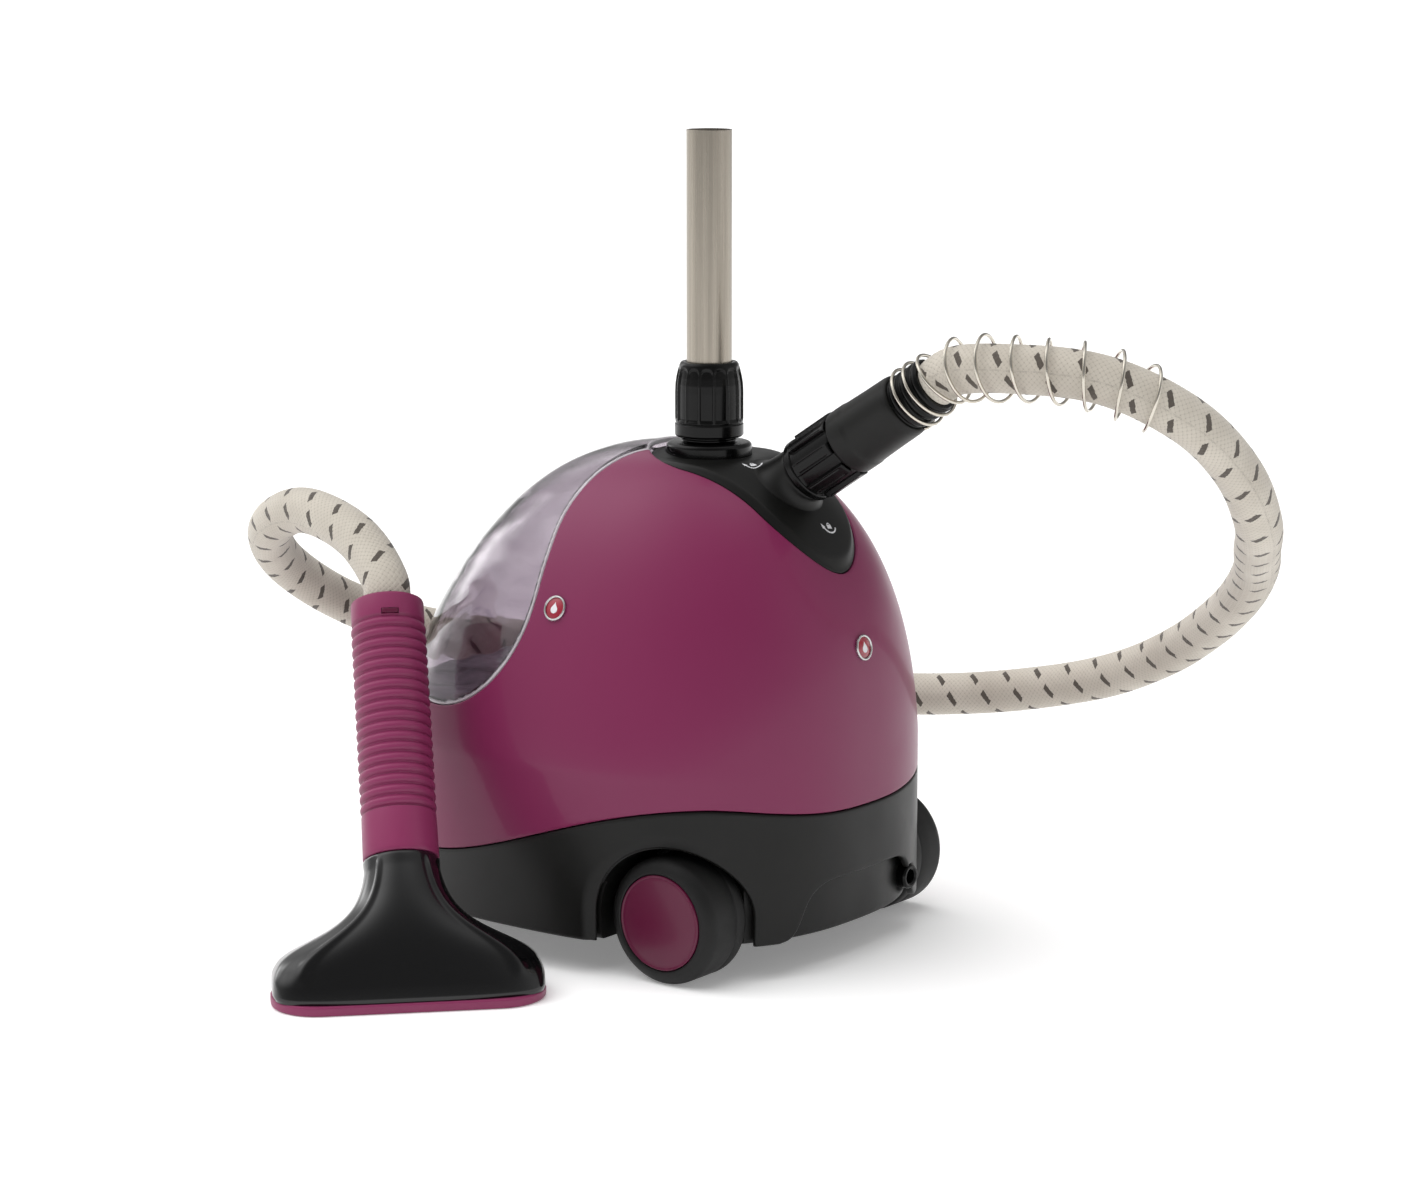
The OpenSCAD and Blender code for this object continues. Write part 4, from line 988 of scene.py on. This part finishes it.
# ------------------------------------------------------------------ steam head
PLATE_L, PLATE_W, PLATE_H, PLATE_C = 147.0, 57.5, 5.5, 26.0     # the face plate, and its corners' radius
NOZZLE_SIDES = 260


def flare_share(u):
    """How far the nozzle is widened at share u of its height: 1 at the plate, nearly 0 at the neck."""
    return 1 / (1 + (np.maximum(u, 0) / 0.48) ** 4.6)


def nozzle_point(phi, u):
    """Point of the nozzle's skin on the head, at angle phi round it and share u of its height."""
    half_l = NECK_R + (PLATE_L / 2 - 0.6 - NECK_R) * (flare_share(u) - 0.033 * u)
    half_w = NECK_R + (PLATE_W / 2 - 0.6 - NECK_R) * (1 - smooth01(u))
    power = 2 / (2 + 2.2 * (1 - smooth01(u * 1.3)))
    c, s = np.cos(phi), np.sin(phi)
    x = half_l * np.sign(c) * np.abs(c) ** power
    y = half_w * np.sign(s) * np.abs(s) ** power
    lean = LEAN * smooth01(u)
    back = -NECK_BACK * u * (0.35 + 0.65 * u)
    up = PLATE_H + 0.1 + (NECK_Z - PLATE_H - 0.1) * u
    return np.stack([x, back + y * np.cos(lean), up + y * np.sin(lean)], axis=-1)


def nozzle_skin():
    """Rows of the skin from the plate up, with a ridge down each shoulder and a shallow band outside it."""
    us = np.concatenate([[0.0, 0.006, 0.016, 0.03], np.linspace(0.05, 0.985, 84), [0.993, 1.0]])
    phi, u = np.meshgrid((np.arange(NOZZLE_SIDES) + 0.5) / NOZZLE_SIDES * 2 * math.pi, us)
    p, e = nozzle_point(phi, u), 1e-3
    along, up = (nozzle_point(phi + a, u + b) - nozzle_point(phi - a, u - b) for a, b in ((e, 0), (0, e)))
    n = unit(np.cross(along, up))
    x_share = np.abs(p[..., 0]) / (NECK_R + (PLATE_L / 2 - NECK_R) * flare_share(u))
    d = x_share - (0.80 - 0.22 * smooth01((u - 0.25) / 0.7))
    band = smooth01((u - 0.12) / 0.12) * smooth01((1.0 - u) / 0.10)
    ridge = 0.9 * np.exp(-(d / 0.05) ** 2) - 1.1 * smooth01(d / 0.10) * smooth01((1.02 - x_share) / 0.06)
    panel = -0.5 * smooth01(-d / 0.10)
    ends = -0.9 * (1 - smooth01(u / 0.03)) - 0.5 * smooth01((u - 0.985) / 0.015)
    return p + n * (band * (ridge + panel) + ends)[..., None]


skin = nozzle_skin()
phi = (np.arange(NOZZLE_SIDES) + 0.5) / NOZZLE_SIDES * 2 * math.pi
neck = [np.stack([r * np.cos(phi), r * np.sin(phi), np.full(NOZZLE_SIDES, h)], axis=-1)
        for r, h in ((16.5, 0.0), (15.0, -1.2), (15.0, -22.0))]
inside = [skin[40] * (0.90, 1.0, 1.0), skin[4] * (0.955, 0.90, 1.0), skin[0] * (0.97, 0.93, 1.0)]
rings = [on_head(r) for r in [*inside, *skin]] + [on_handle(r) for r in neck]
band("nozzle_housing", rings, "gloss", sharp=50, replaces="nozzle_shell", slot="black_gloss")

RING_FIRST, RING_COUNT = 25.0, 18
RING_PITCH = 109.5 / RING_COUNT
grip = [(16.6, 0.3), (20.2, 0.3), (20.75, 0.9), (20.75, 3.0), (20.5, 24.2), (20.35, 25.0)]
for h in RING_FIRST + RING_PITCH * np.arange(RING_COUNT):
    grip += [(19.15, h + 0.55), (19.05, h + 0.95), (19.25, h + 1.4)]
    grip += [(19.6 + 1.25 * math.sin(math.pi * t) ** 0.55, h + 1.6 + (RING_PITCH - 1.6) * t)
             for t in np.linspace(0, 1, 9)]
top = RING_FIRST + RING_COUNT * RING_PITCH
grip += [(19.15, top + 0.55), (19.05, top + 0.95), (19.4, top + 1.5), (20.2, top + 2.1), (20.35, top + 3.0),
         (20.3, HANDLE_L - 1.6), (19.9, HANDLE_L - 0.5), (19.0, HANDLE_L), (16.3, HANDLE_L),
         (15.7, HANDLE_L - 0.6),
         (15.6, HANDLE_L - 34), (16.6, HANDLE_L - 35)]
v, f = revolve(grip, 120, closed=True)
handle = mesh_piece("handle_rings", on_handle(v), f, "handle", sharp=48, replaces="handle_grip", slot="handle")
slot_box = [(x, y, z) for x in (-4.8, 4.8) for y in (16.8, 26.0) for z in (136.3, 139.5)]
sides = [(0, 1, 3, 2), (4, 6, 7, 5), (0, 4, 5, 1), (2, 3, 7, 6), (0, 2, 6, 4), (1, 5, 7, 3)]
carve(handle, [cutter(on_handle(slot_box), sides)], 48)


# ------------------------------------------------------------------ turned fittings
def turned(name, profile, place, mat, replaces=None, body="machine", slot=None, n=96, sharp=40.0, relief=None):
    """A piece from a closed (r, h) outline turned round its axis, then put in place."""
    v, f = revolve(profile, n, closed=True, relief=relief)
    return mesh_piece(name, place(v), f, mat, body, sharp, replaces=replaces, slot=slot)


def dense(profile, step):
    """More points along the long stretches of a closed outline."""
    out = []
    for a, b in zip(np.array(profile), np.array(profile[1:] + profile[:1])):
        k = max(1, int(np.linalg.norm(b - a) / step))
        out += [a + (b - a) * i / k for i in range(k)]
    return out


def upright(h):
    return lambda v: v + (0.0, 0.0, h)


turned("pole_lower", rounded([(11.7, 228.0), (12.7, 228.0), (12.7, 454.0), (11.7, 454.0)], 0.3), upright(0),
       "pole",
       "pole_tube", "pole", "pole", 128)

BOSS_TOP, BOSS_R, THREADS = 280.5, 24.0, 7
socket = [(8.0, 222.0), (17.0, 222.0), (17.0, 257.9), (BOSS_R - 0.6, 258.0), (BOSS_R, 259.0),
          (BOSS_R, BOSS_TOP - 2.4), *arc(BOSS_R - 2.4, BOSS_TOP - 2.4, 2.4, 0.12, math.pi / 2, 8),
          (16.6, BOSS_TOP), (15.2, BOSS_TOP + 0.15)]
for h in BOSS_TOP + 0.5 + 2.2 * np.arange(THREADS):
    socket += [(14.6, h), (15.5, h + 0.7), (15.5, h + 1.1), (14.6, h + 1.8)]
socket += [(14.4, BOSS_TOP + 17.6), (13.6, BOSS_TOP + 18.4), (12.76, BOSS_TOP + 18.4), (12.76, 227.5),
           (8.0, 227.0)]
turned("socket_boss", socket, upright(0), "black_smooth", "pole_socket", slot="base", n=128, sharp=35)


def across_panel(ang, count):
    """Signed share of the way across one of count panels, 0 in its middle and a half at its edges."""
    return np.mod(ang / (2 * math.pi) * count, 1.0) - 0.5


NUT_FOOT, NUT_PANELS, HOSE_NUT_BARS = 283.6, 14, 8


def pole_nut_relief(ang, r, h):
    """Panels with arched tops, sunk between fine ridges."""
    u = across_panel(ang + 0.11, NUT_PANELS)
    d = (0.5 - np.abs(u)) * 2 * math.pi * 19.0 / NUT_PANELS
    top = 39.2 - 3.4 * (1 - np.sqrt(np.maximum(0.0, 1 - (u / 0.5) ** 2)))
    over_foot = smooth01((h - 9.0) / 0.9)
    panel = smooth01((d - 0.35) / 0.7) * over_foot * smooth01((top - h) / 1.6)
    ridge = np.exp(-(d / 0.55) ** 2) * over_foot * smooth01((39.5 - h) / 2.0)
    return np.where(r > 15.4, 0.18 * ridge - 0.85 * panel, 0.0)


def hose_nut_relief(ang, r, h):
    """Raised bars with a slot down each edge."""
    u = across_panel(ang + 0.35, HOSE_NUT_BARS)
    d = (0.25 - np.abs(u)) * 2 * math.pi * 18.0 / HOSE_NUT_BARS
    bar = smooth01((d + 0.3) / 0.6) * smooth01((h - 5.9) / 0.5)
    slot = np.exp(-((d - 1.1) / 0.28) ** 2) * smooth01((h - 8.0) / 0.6) * smooth01((30.5 - h) / 0.6)
    relief = 2.1 * bar * smooth01((34.2 - h) / 0.4) - 0.45 * slot - 0.15 * (1 - bar) * smooth01((h - 6) / 0.5)
    return np.where(r > 16.0, relief, 0.0)


pole_nut = [(13.1, 0.3), (15.8, 0.3), (15.9, 0.0), (18.3, 0.0), (19.3, 1.0), (19.3, 7.0), (19.05, 7.3),
            (18.55, 7.5), (18.55, 7.9), (19.0, 8.2), (19.0, 25.0), (18.8, 29.5), (18.2, 33.5), (17.3, 37.5),
            (16.6, 40.4), (15.7, 41.8), (14.6, 42.0), (13.1, 41.8)]
turned("pole_nut_ribbed", dense(rounded(pole_nut, 0.5), 0.8), upright(NUT_FOOT), "black_smooth",
       "pole_lock_nut", "pole_lock", "base", 420, 50, pole_nut_relief)
hose_nut = [(15.02, 0.0), (17.4, 0.0), (18.5, 1.0), (18.5, 4.4), (18.1, 5.1), (17.5, 5.4), (17.5, 32.6),
            (17.1, 33.4), (15.02, 33.5)]
turned("hose_nut_ribbed", dense(rounded(hose_nut, 0.35), 0.7), along_connector, "black_smooth",
       "hose_lock_nut", "hose_lock", "base", 400, 50, hose_nut_relief)
cuff = [(9.0, 29.0), (14.8, 29.0), (14.8, 34.0), (18.1, 34.0), (19.0, 35.0), (19.0, 44.0), (18.75, 45.4),
        (18.55, 47.0), (18.1, 62.0), (17.9, 75.0), (17.5, 77.6), (16.6, 79.0), (9.0, 79.0)]
turned("hose_cuff_moulding", rounded(cuff, 0.7), along_connector, "black", "hose_cuff", slot="base",
       n=144, sharp=35)
sleeve = [(9.0, 79.0), (15.2, 79.0)]
for h in 79.6 + 4.1 * np.arange(5):
    sleeve += [(14.7, h), (14.95, h + 0.5), (15.6, h + 0.85), (15.9, h + 1.5), (15.9, h + 2.3),
               (15.6, h + 2.95), (14.95, h + 3.3)]
sleeve += [(14.6, 99.9), (14.1, 100.0), (9.0, 100.0)]
turned("hose_sleeve_ridged", sleeve, along_connector, "black_smooth", "hose_sleeve", slot="base", n=112,
       sharp=45)
collar = [(9.0, HANDLE_L - 30), (15.45, HANDLE_L - 30), (15.45, HANDLE_L - 0.9), (13.6, HANDLE_L),
          (9.0, HANDLE_L)]
turned("hose_end_collar", rounded(collar, 0.5), on_handle, "black", "hose_end_bush", "hose_swivel",
       "black_gloss")

# ------------------------------------------------------------------ wheels
WHEEL_Y, WHEEL_R, FACE_X, TYRE_W = 51.5, 35.0, 114.0, 34.0
HUB_DISC_R = 24.7
tyre = [(25.0, 0.0), *arc(31.0, 4.0, 4.0, -math.pi / 2, 0, 9), (34.95, 9.0), (34.7, 9.6), (34.7, 10.2),
        (35.0, 10.8), (35.0, 20.0), *arc(27.6, 26.6, 7.4, 0, math.pi / 2, 14), (27.2, 33.9), (26.75, 33.4),
        (26.6, 32.4), (26.6, 31.0), (25.0, 31.0)]
# the hub's disc: (radius, height over the tyre's outer face)
disc = [(0.0, -1.4), (18.5, -1.4), (18.5, -9), (20.9, -9), (20.9, -2.95), (26.0, -2.95), (26.3, -2.4),
        (26.3, -0.6), (26.1, -0.15), (25.75, 0.05), (25.35, 0.0), (25.0, -0.3)]
disc += [(r, -0.35 + 1.15 * (1 - (r / HUB_DISC_R) ** 2)) for r in np.linspace(HUB_DISC_R, 0.0, 14)]
for side, word in ((1, "right"), (-1, "left")):
    face = np.array([side * FACE_X, WHEEL_Y, WHEEL_R])
    axes = (0, 0, -side), Y_DIR, (side, 0, 0)
    v, f = revolve(tyre, 160, closed=True)
    mesh_piece(f"tyre_{word}", placed(v - (0, 0, TYRE_W), face, *axes), f, "tyre", f"wheel_{word}", 40,
               replaces=f"wheel_{word}_tyre", slot="tyre")
    v, f = revolve(disc, 144)
    mesh_piece(f"hub_disc_{word}", placed(v, face, *axes), f, "hub_cap", f"wheel_{word}", 35,
               replaces=f"wheel_{word}_cap", slot="plum_trim", merge=COINCIDENT)


# ------------------------------------------------------------------ face plate and latch key
def plate_ring(d, h):
    """The face plate's outline, d inside its edge and at height h."""
    x, y, corner = PLATE_L / 2 - PLATE_C, PLATE_W / 2 - PLATE_C, PLATE_C - d
    points = []
    for k, (sx, sy) in enumerate(((1, 1), (-1, 1), (-1, -1), (1, -1))):
        points += arc(sx * x, sy * y, corner, k * math.pi / 2, (k + 1) * math.pi / 2, 40)
    return np.column_stack([points, np.full(len(points), h)])


LOW_EDGE, TOP_EDGE = 1.9, 1.1       # radii of the plate's lower and upper edge
levels = [(12.2, 0.6), (11.6, 0.1), (11.0, 0.0), (2.2, 0.0),
          *arc(LOW_EDGE, LOW_EDGE, -LOW_EDGE, math.pi / 2 - 0.15, 0, 7), (0.0, 4.3),
          *arc(TOP_EDGE, 4.4, -TOP_EDGE, 0.15, math.pi / 2, 6, TOP_EDGE),
          (3.4, 5.5), (4.0, 5.2), (4.0, 1.25), (12.2, 1.2)]
rings = [on_head(plate_ring(d, h)) for d, h in levels]
band("face_plate_rim", rings, "handle", sharp=45, replaces="face_plate", slot="body")


def rounded_block(size, r, n=9):
    """A block whose edges and corners are all rounded."""
    half = np.array(size) / 2
    u, w = (g.ravel() for g in np.meshgrid(np.linspace(-1, 1, n), np.linspace(-1, 1, n)))
    v, f = [], []
    for k in range(6):
        p = np.roll(np.stack([u, w, np.full_like(u, 1 - k % 2 * 2)], axis=-1), k // 2, axis=1) * half
        core = np.clip(p, r - half, half - r)
        v.append(core + unit(p - core) * r)
        f += [tuple(i + k * n * n for i in q) for q in grid_faces(n, n, wrap=False)]
    return np.concatenate(v), f


v, f = rounded_block((9.0, 2.6, 2.6), 0.45)
mesh_piece("handle_latch_key", on_handle(v + (0.0, 19.5, 137.9)), f, "hub_cap", "latch", 60,
           replaces="handle_latch", slot="plum_trim", merge=2e-6)

# ------------------------------------------------------------------ switch, lamp and mains gland
FRONT_Y = -188.5


def facing(x, y, z):
    """A place whose h runs towards the rear."""
    return lambda v: placed(v, (x, y, z), X_DIR, -Z_DIR, Y_DIR)


at_switch = facing(0, FRONT_Y, SWITCH_Z)
bezel = [(13.05, 11.0), (13.05, 0.6), (13.7, -0.4), (16.0, -0.6), (16.8, 0.6), (16.8, 14.0), (0.5, 14.0),
         (0.5, 11.0)]
turned("switch_bezel", rounded(bezel, 0.45), at_switch, "black_smooth", "power_bezel", slot="base", n=112)
key = [(0.01, 6.5), (12.2, 6.5), (12.95, 6.0), (12.95, -0.2)] + arc(12.0, -0.2, 0.95, 0.1, math.pi / 2, 6, -0.9)
key += [(r, -0.4 - 0.7 * (r / 12.0) ** 2) for r in np.linspace(11.0, 0.01, 12)]
switch_key = turned("switch_key", key, at_switch, "hub_cap", "power_button", "power_key", "plum_trim", 112)
lamp = [(0.01, 8.0), (3.0, 8.0), (3.0, 0.6)] + arc(0, 0.6, 3.0, 0.1, 1.55, 9, -1.3)
turned("lamp_lens", lamp, facing(0, FRONT_Y, LAMP_Z), "lens", "indicator_lens", slot="lens", n=48)
gland = [(4.0, 0.0), (7.0, 0.0), (7.0, 5.4), (6.2, 6.6), (5.0, 6.6), (4.0, 5.8)]
turned("mains_gland", rounded(gland, 0.3), facing(*GLAND), "black_smooth", "cord_gland", slot="base", n=64)


# ------------------------------------------------------------------ printed and applied marks
def tree_of(*obs):
    verts, polys = [], []
    for ob in obs:
        base = len(verts)
        verts += [v.co.copy() for v in ob.data.vertices]
        polys += [tuple(i + base for i in p.vertices) for p in ob.data.polygons]
    return BVHTree.FromPolygons(verts, polys)


def drop_on(tree, p, w_dir):
    """Where a ray from p along w_dir meets the skin, in mm, and the normal there, turned against the ray."""
    hit, n, _, _ = tree.ray_cast(Vector(row(p)), Vector(w_dir))
    return from_row(hit), np.array(n) * (-1 if n.dot(Vector(w_dir)) > 0 else 1)


def print_on(name, strips, origin, u_dir, v_dir, w_dir, tree, mat, thick, body="machine"):
    """Ink: strips of (u, v) pairs dropped along w_dir onto a skin, from 0.03 mm inside it to thick outside."""
    vs, fs = [], []
    for strip in strips:
        base, n, k = len(vs), len(strip), len(strip[0])
        m = n * k
        above = [origin + u * u_dir + v * v_dir - 40.0 * w_dir for pairs in strip for u, v in pairs]
        at = [drop_on(tree, p, w_dir) for p in above]
        vs += [p + normal * (layer - 0.03) for layer in (0.0, thick) for p, normal in at]
        rim = list(range(k)) + [i * k + k - 1 for i in range(1, n)]
        rim += [(n - 1) * k + j for j in range(k - 2, -1, -1)] + [i * k for i in range(n - 2, 0, -1)]
        quads = grid_faces(n, k, wrap=False)
        quads += [tuple(i + m for i in q[::-1]) for q in quads]
        quads += [(a, b, b + m, a + m) for a, b in zip(rim, rim[1:] + rim[:1])]
        fs += [tuple(i + base for i in q) for q in quads]
    return mesh_piece(name, vs, fs, mat, body, 30, slot="badge")


def arc_strip(r0, r1, a0, a1, n=18, cy=0.0):
    inner, outer = (arc(0.0, cy, r, math.radians(a0), math.radians(a1), n) for r in (r0, r1))
    return list(zip(inner, outer))


def bar_strip(p0, p1, w0, w1, n=4):
    """Straight bar from p0 to p1 whose half width goes from w0 to w1."""
    p0, p1 = np.array(p0), np.array(p1)
    across = unit(np.array([p0[1] - p1[1], p1[0] - p0[0]]))
    return [[p0 + (p1 - p0) * t + across * side * (w0 + (w1 - w0) * t) for side in (-1, 1)]
            for t in np.arange(n + 1) / n]


def lock_mark():
    """A turning arrow over a small closed padlock."""
    r, start = 5.2, math.radians(205)
    end = np.array([r * math.cos(start), r * math.sin(start)])
    tip = end + 3.0 * np.array([math.sin(start), -math.cos(start)])
    padlock = [[(x, -2.6), (x, -0.2)] for x in (-1.7, 0.0, 1.7)]
    return [arc_strip(r - 0.45, r + 0.45, 205, 340), bar_strip(end, tip, 1.35, 0.06), padlock,
            arc_strip(0.75, 1.25, 0, 180, 10, -0.1)]


def power_mark():
    return [arc_strip(3.1, 3.9, -235, 55, 26), [[(x, 0.8), (x, 4.6)] for x in (-0.4, 0.4)]]


def drop_mark(scale):
    """A water drop, round below and pointed above."""
    rows = []
    for h in -2.3 + 5.4 * np.linspace(0, 1, 15):
        w = 1.74 * (1 - (h - 0.4) / 2.75) ** 1.25
        if h < 0.4:
            w = 1.9 * math.sqrt(max(0.0, 1 - ((h + 0.4) / 1.95) ** 2))
        rows.append([(x * scale * max(w, 0.05), h * scale) for x in (-1, 0, 1)])
    return [rows]


SIDE_BADGE_Y, BADGE_R = -28.5, 5.85
side_angle = min(np.linspace(-0.6, 0.6, 2401), key=lambda q: abs(surf(q, 197.0)[1] - SIDE_BADGE_Y))
for name, angle, z in (("side_badge", side_angle, 197.0), ("rear_badge", math.pi / 2, 175.0)):
    p, n = surf(angle, z), normals(angle, z)
    u = unit(np.cross(Z_DIR, n))
    w = np.cross(n, u)
    put = lambda v: placed(v, p, u, w, n)
    rim = [(5.9, -0.6), (7.2, -0.6), (7.2, 0.9)] + arc(6.55, 0.9, 0.65, 0.2, math.pi, 9) + [(5.9, 0.6)]
    turned(name + "_rim", rim, put, "steel", name, slot="badge")
    face = [(0.01, -0.6), (BADGE_R, -0.6), (BADGE_R, 0.65)]
    face += [(r, 0.65 + 0.75 * (1 - (r / BADGE_R) ** 2)) for r in np.linspace(5.6, 0.01, 12)]
    disc = turned(name + "_disc", face, put, "badge_red", name, slot="badge")
    print_on(name + "_drop", drop_mark(1.15), p - 0.3 * w, u, w, -n, tree_of(disc), "white", 0.12)

print_on("switch_mark", power_mark(), np.array([0.0, FRONT_Y, SWITCH_Z]), X_DIR, Z_DIR, Y_DIR,
         tree_of(switch_key), "white", 0.1, "power_key")
MARK_UP = np.array([-0.144, -0.108, 0.984])     # the way up of the two lock marks on the saddle
tree = tree_of(saddle, flare)
for name, x, y in (("pole_lock_mark", 9.8, 36.9), ("hose_lock_mark", -3.6, 79.0)):
    p, n = drop_on(tree, (x, y, 300.0), -Z_DIR)
    u = unit(np.cross(MARK_UP, n))
    print_on(name, lock_mark(), p, u, np.cross(n, u), -n, tree, "white", 0.12)

# ------------------------------------------------------------------ finishes of the CAD parts that show
SLOT_MAT = {"body": "body", "plum_trim": "hub_cap", "handle": "handle", "base": "black", "black_gloss": "gloss",
            "tank": "tank", "pole": "pole", "steel": "steel", "spring_wire": "wire", "tyre": "tyre",
            "alloy": "alloy",
            "silicone": "silicone", "lens": "lens", "badge": "steel", "fuse_sleeve": "sleeve", "braid": "white"}
slots = {s["node"]: s["material_slot"] for s in frame["record"]["subparts"]}
for node, ob in frame["nodes"].items():
    ob.data.materials.clear()
    ob.data.materials.append(MAT["bay" if node == "tank_bay" else SLOT_MAT[slots[node]]])


# ------------------------------------------------------------------ floor and light
def toward(az, el):
    """Direction at an azimuth from the front and a height, in degrees."""
    a, e = math.radians(az), math.radians(el)
    return Vector((math.sin(a) * math.cos(e), -math.cos(a) * math.cos(e), math.sin(e)))


floor = Mat("studio_floor")
pale = floor.mix(floor.noise(2.0), (0.93, 0.93, 0.93, 1), (0.95, 0.95, 0.95, 1))
MAT["floor"] = floor.set(color=pale, rough=floor.span(floor.noise(8.0), 0.85, 0.95), spec=0.1,
                         glow=(1, 1, 1, 1), glow_power=0.20)
FLOOR_HALF = 90.0       # metres
corners = [(x * FLOOR_HALF, y * FLOOR_HALF, 0) for x, y in ((-1, -1), (1, -1), (1, 1), (-1, 1))]
mesh_piece("floor", from_row(corners), [(0, 1, 2, 3)], "floor", body=None)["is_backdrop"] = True

# The sky is bright at the horizon and dim above (height, level), and bell-shaped glows stand in for softboxes
# (azimuth, height, spread, peak).
SKY = ((0.0, 1.05), (0.03, 0.90), (0.14, 0.40), (0.45, 0.22), (1.0, 0.18))
GLOWS = ((24, 50, 19, 1.90), (-120, 80, 15, 0.80), (-9, 12, 5.5, 2.8), (-2, 25, 5.0, 1.9), (-35, 34, 8, 1.0),
         (205, 28, 20, 0.45))
world = bpy.data.worlds.new("studio")
bpy.context.scene.world = world
world.use_nodes = True
sky = Graph(world.node_tree, "Generated")
ramp = world.node_tree.nodes.new("ShaderNodeValToRGB")
steps = ramp.color_ramp.elements
steps.remove(steps[1])
for i, (at, level) in enumerate(SKY):
    step = steps.new(at) if i else steps[0]
    step.position, step.color = at, (level, level, level, 1)
sky.feed(ramp.inputs["Fac"], sky.node("ShaderNodeSeparateXYZ", (sky.where,), "Z"))
light = Value(sky, ramp.outputs["Color"])
for az, el, spread, peak in GLOWS:
    facing_it = sky.node("ShaderNodeVectorMath", (sky.where, toward(az, el)), "Value", operation="DOT_PRODUCT")
    light = light + (facing_it - 1.0).math("DIVIDE", math.radians(spread) ** 2).math("EXPONENT") * peak
background = world.node_tree.nodes["Background"]
sky.feed(background.inputs["Color"], (1, 1, 1, 1))
sky.feed(background.inputs["Strength"], light)

sun = bpy.data.lights.new("overhead", "SUN")
sun.energy, sun.angle = 1.65, math.radians(70)
overhead = bpy.data.objects.new("overhead", sun)
bpy.context.scene.collection.objects.link(overhead)
overhead.rotation_euler = (-toward(60, 72)).to_track_quat("-Z", "Y").to_euler()
overhead.visible_glossy = False
bpy.context.scene.view_settings.view_transform = "Standard"

lo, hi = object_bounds()
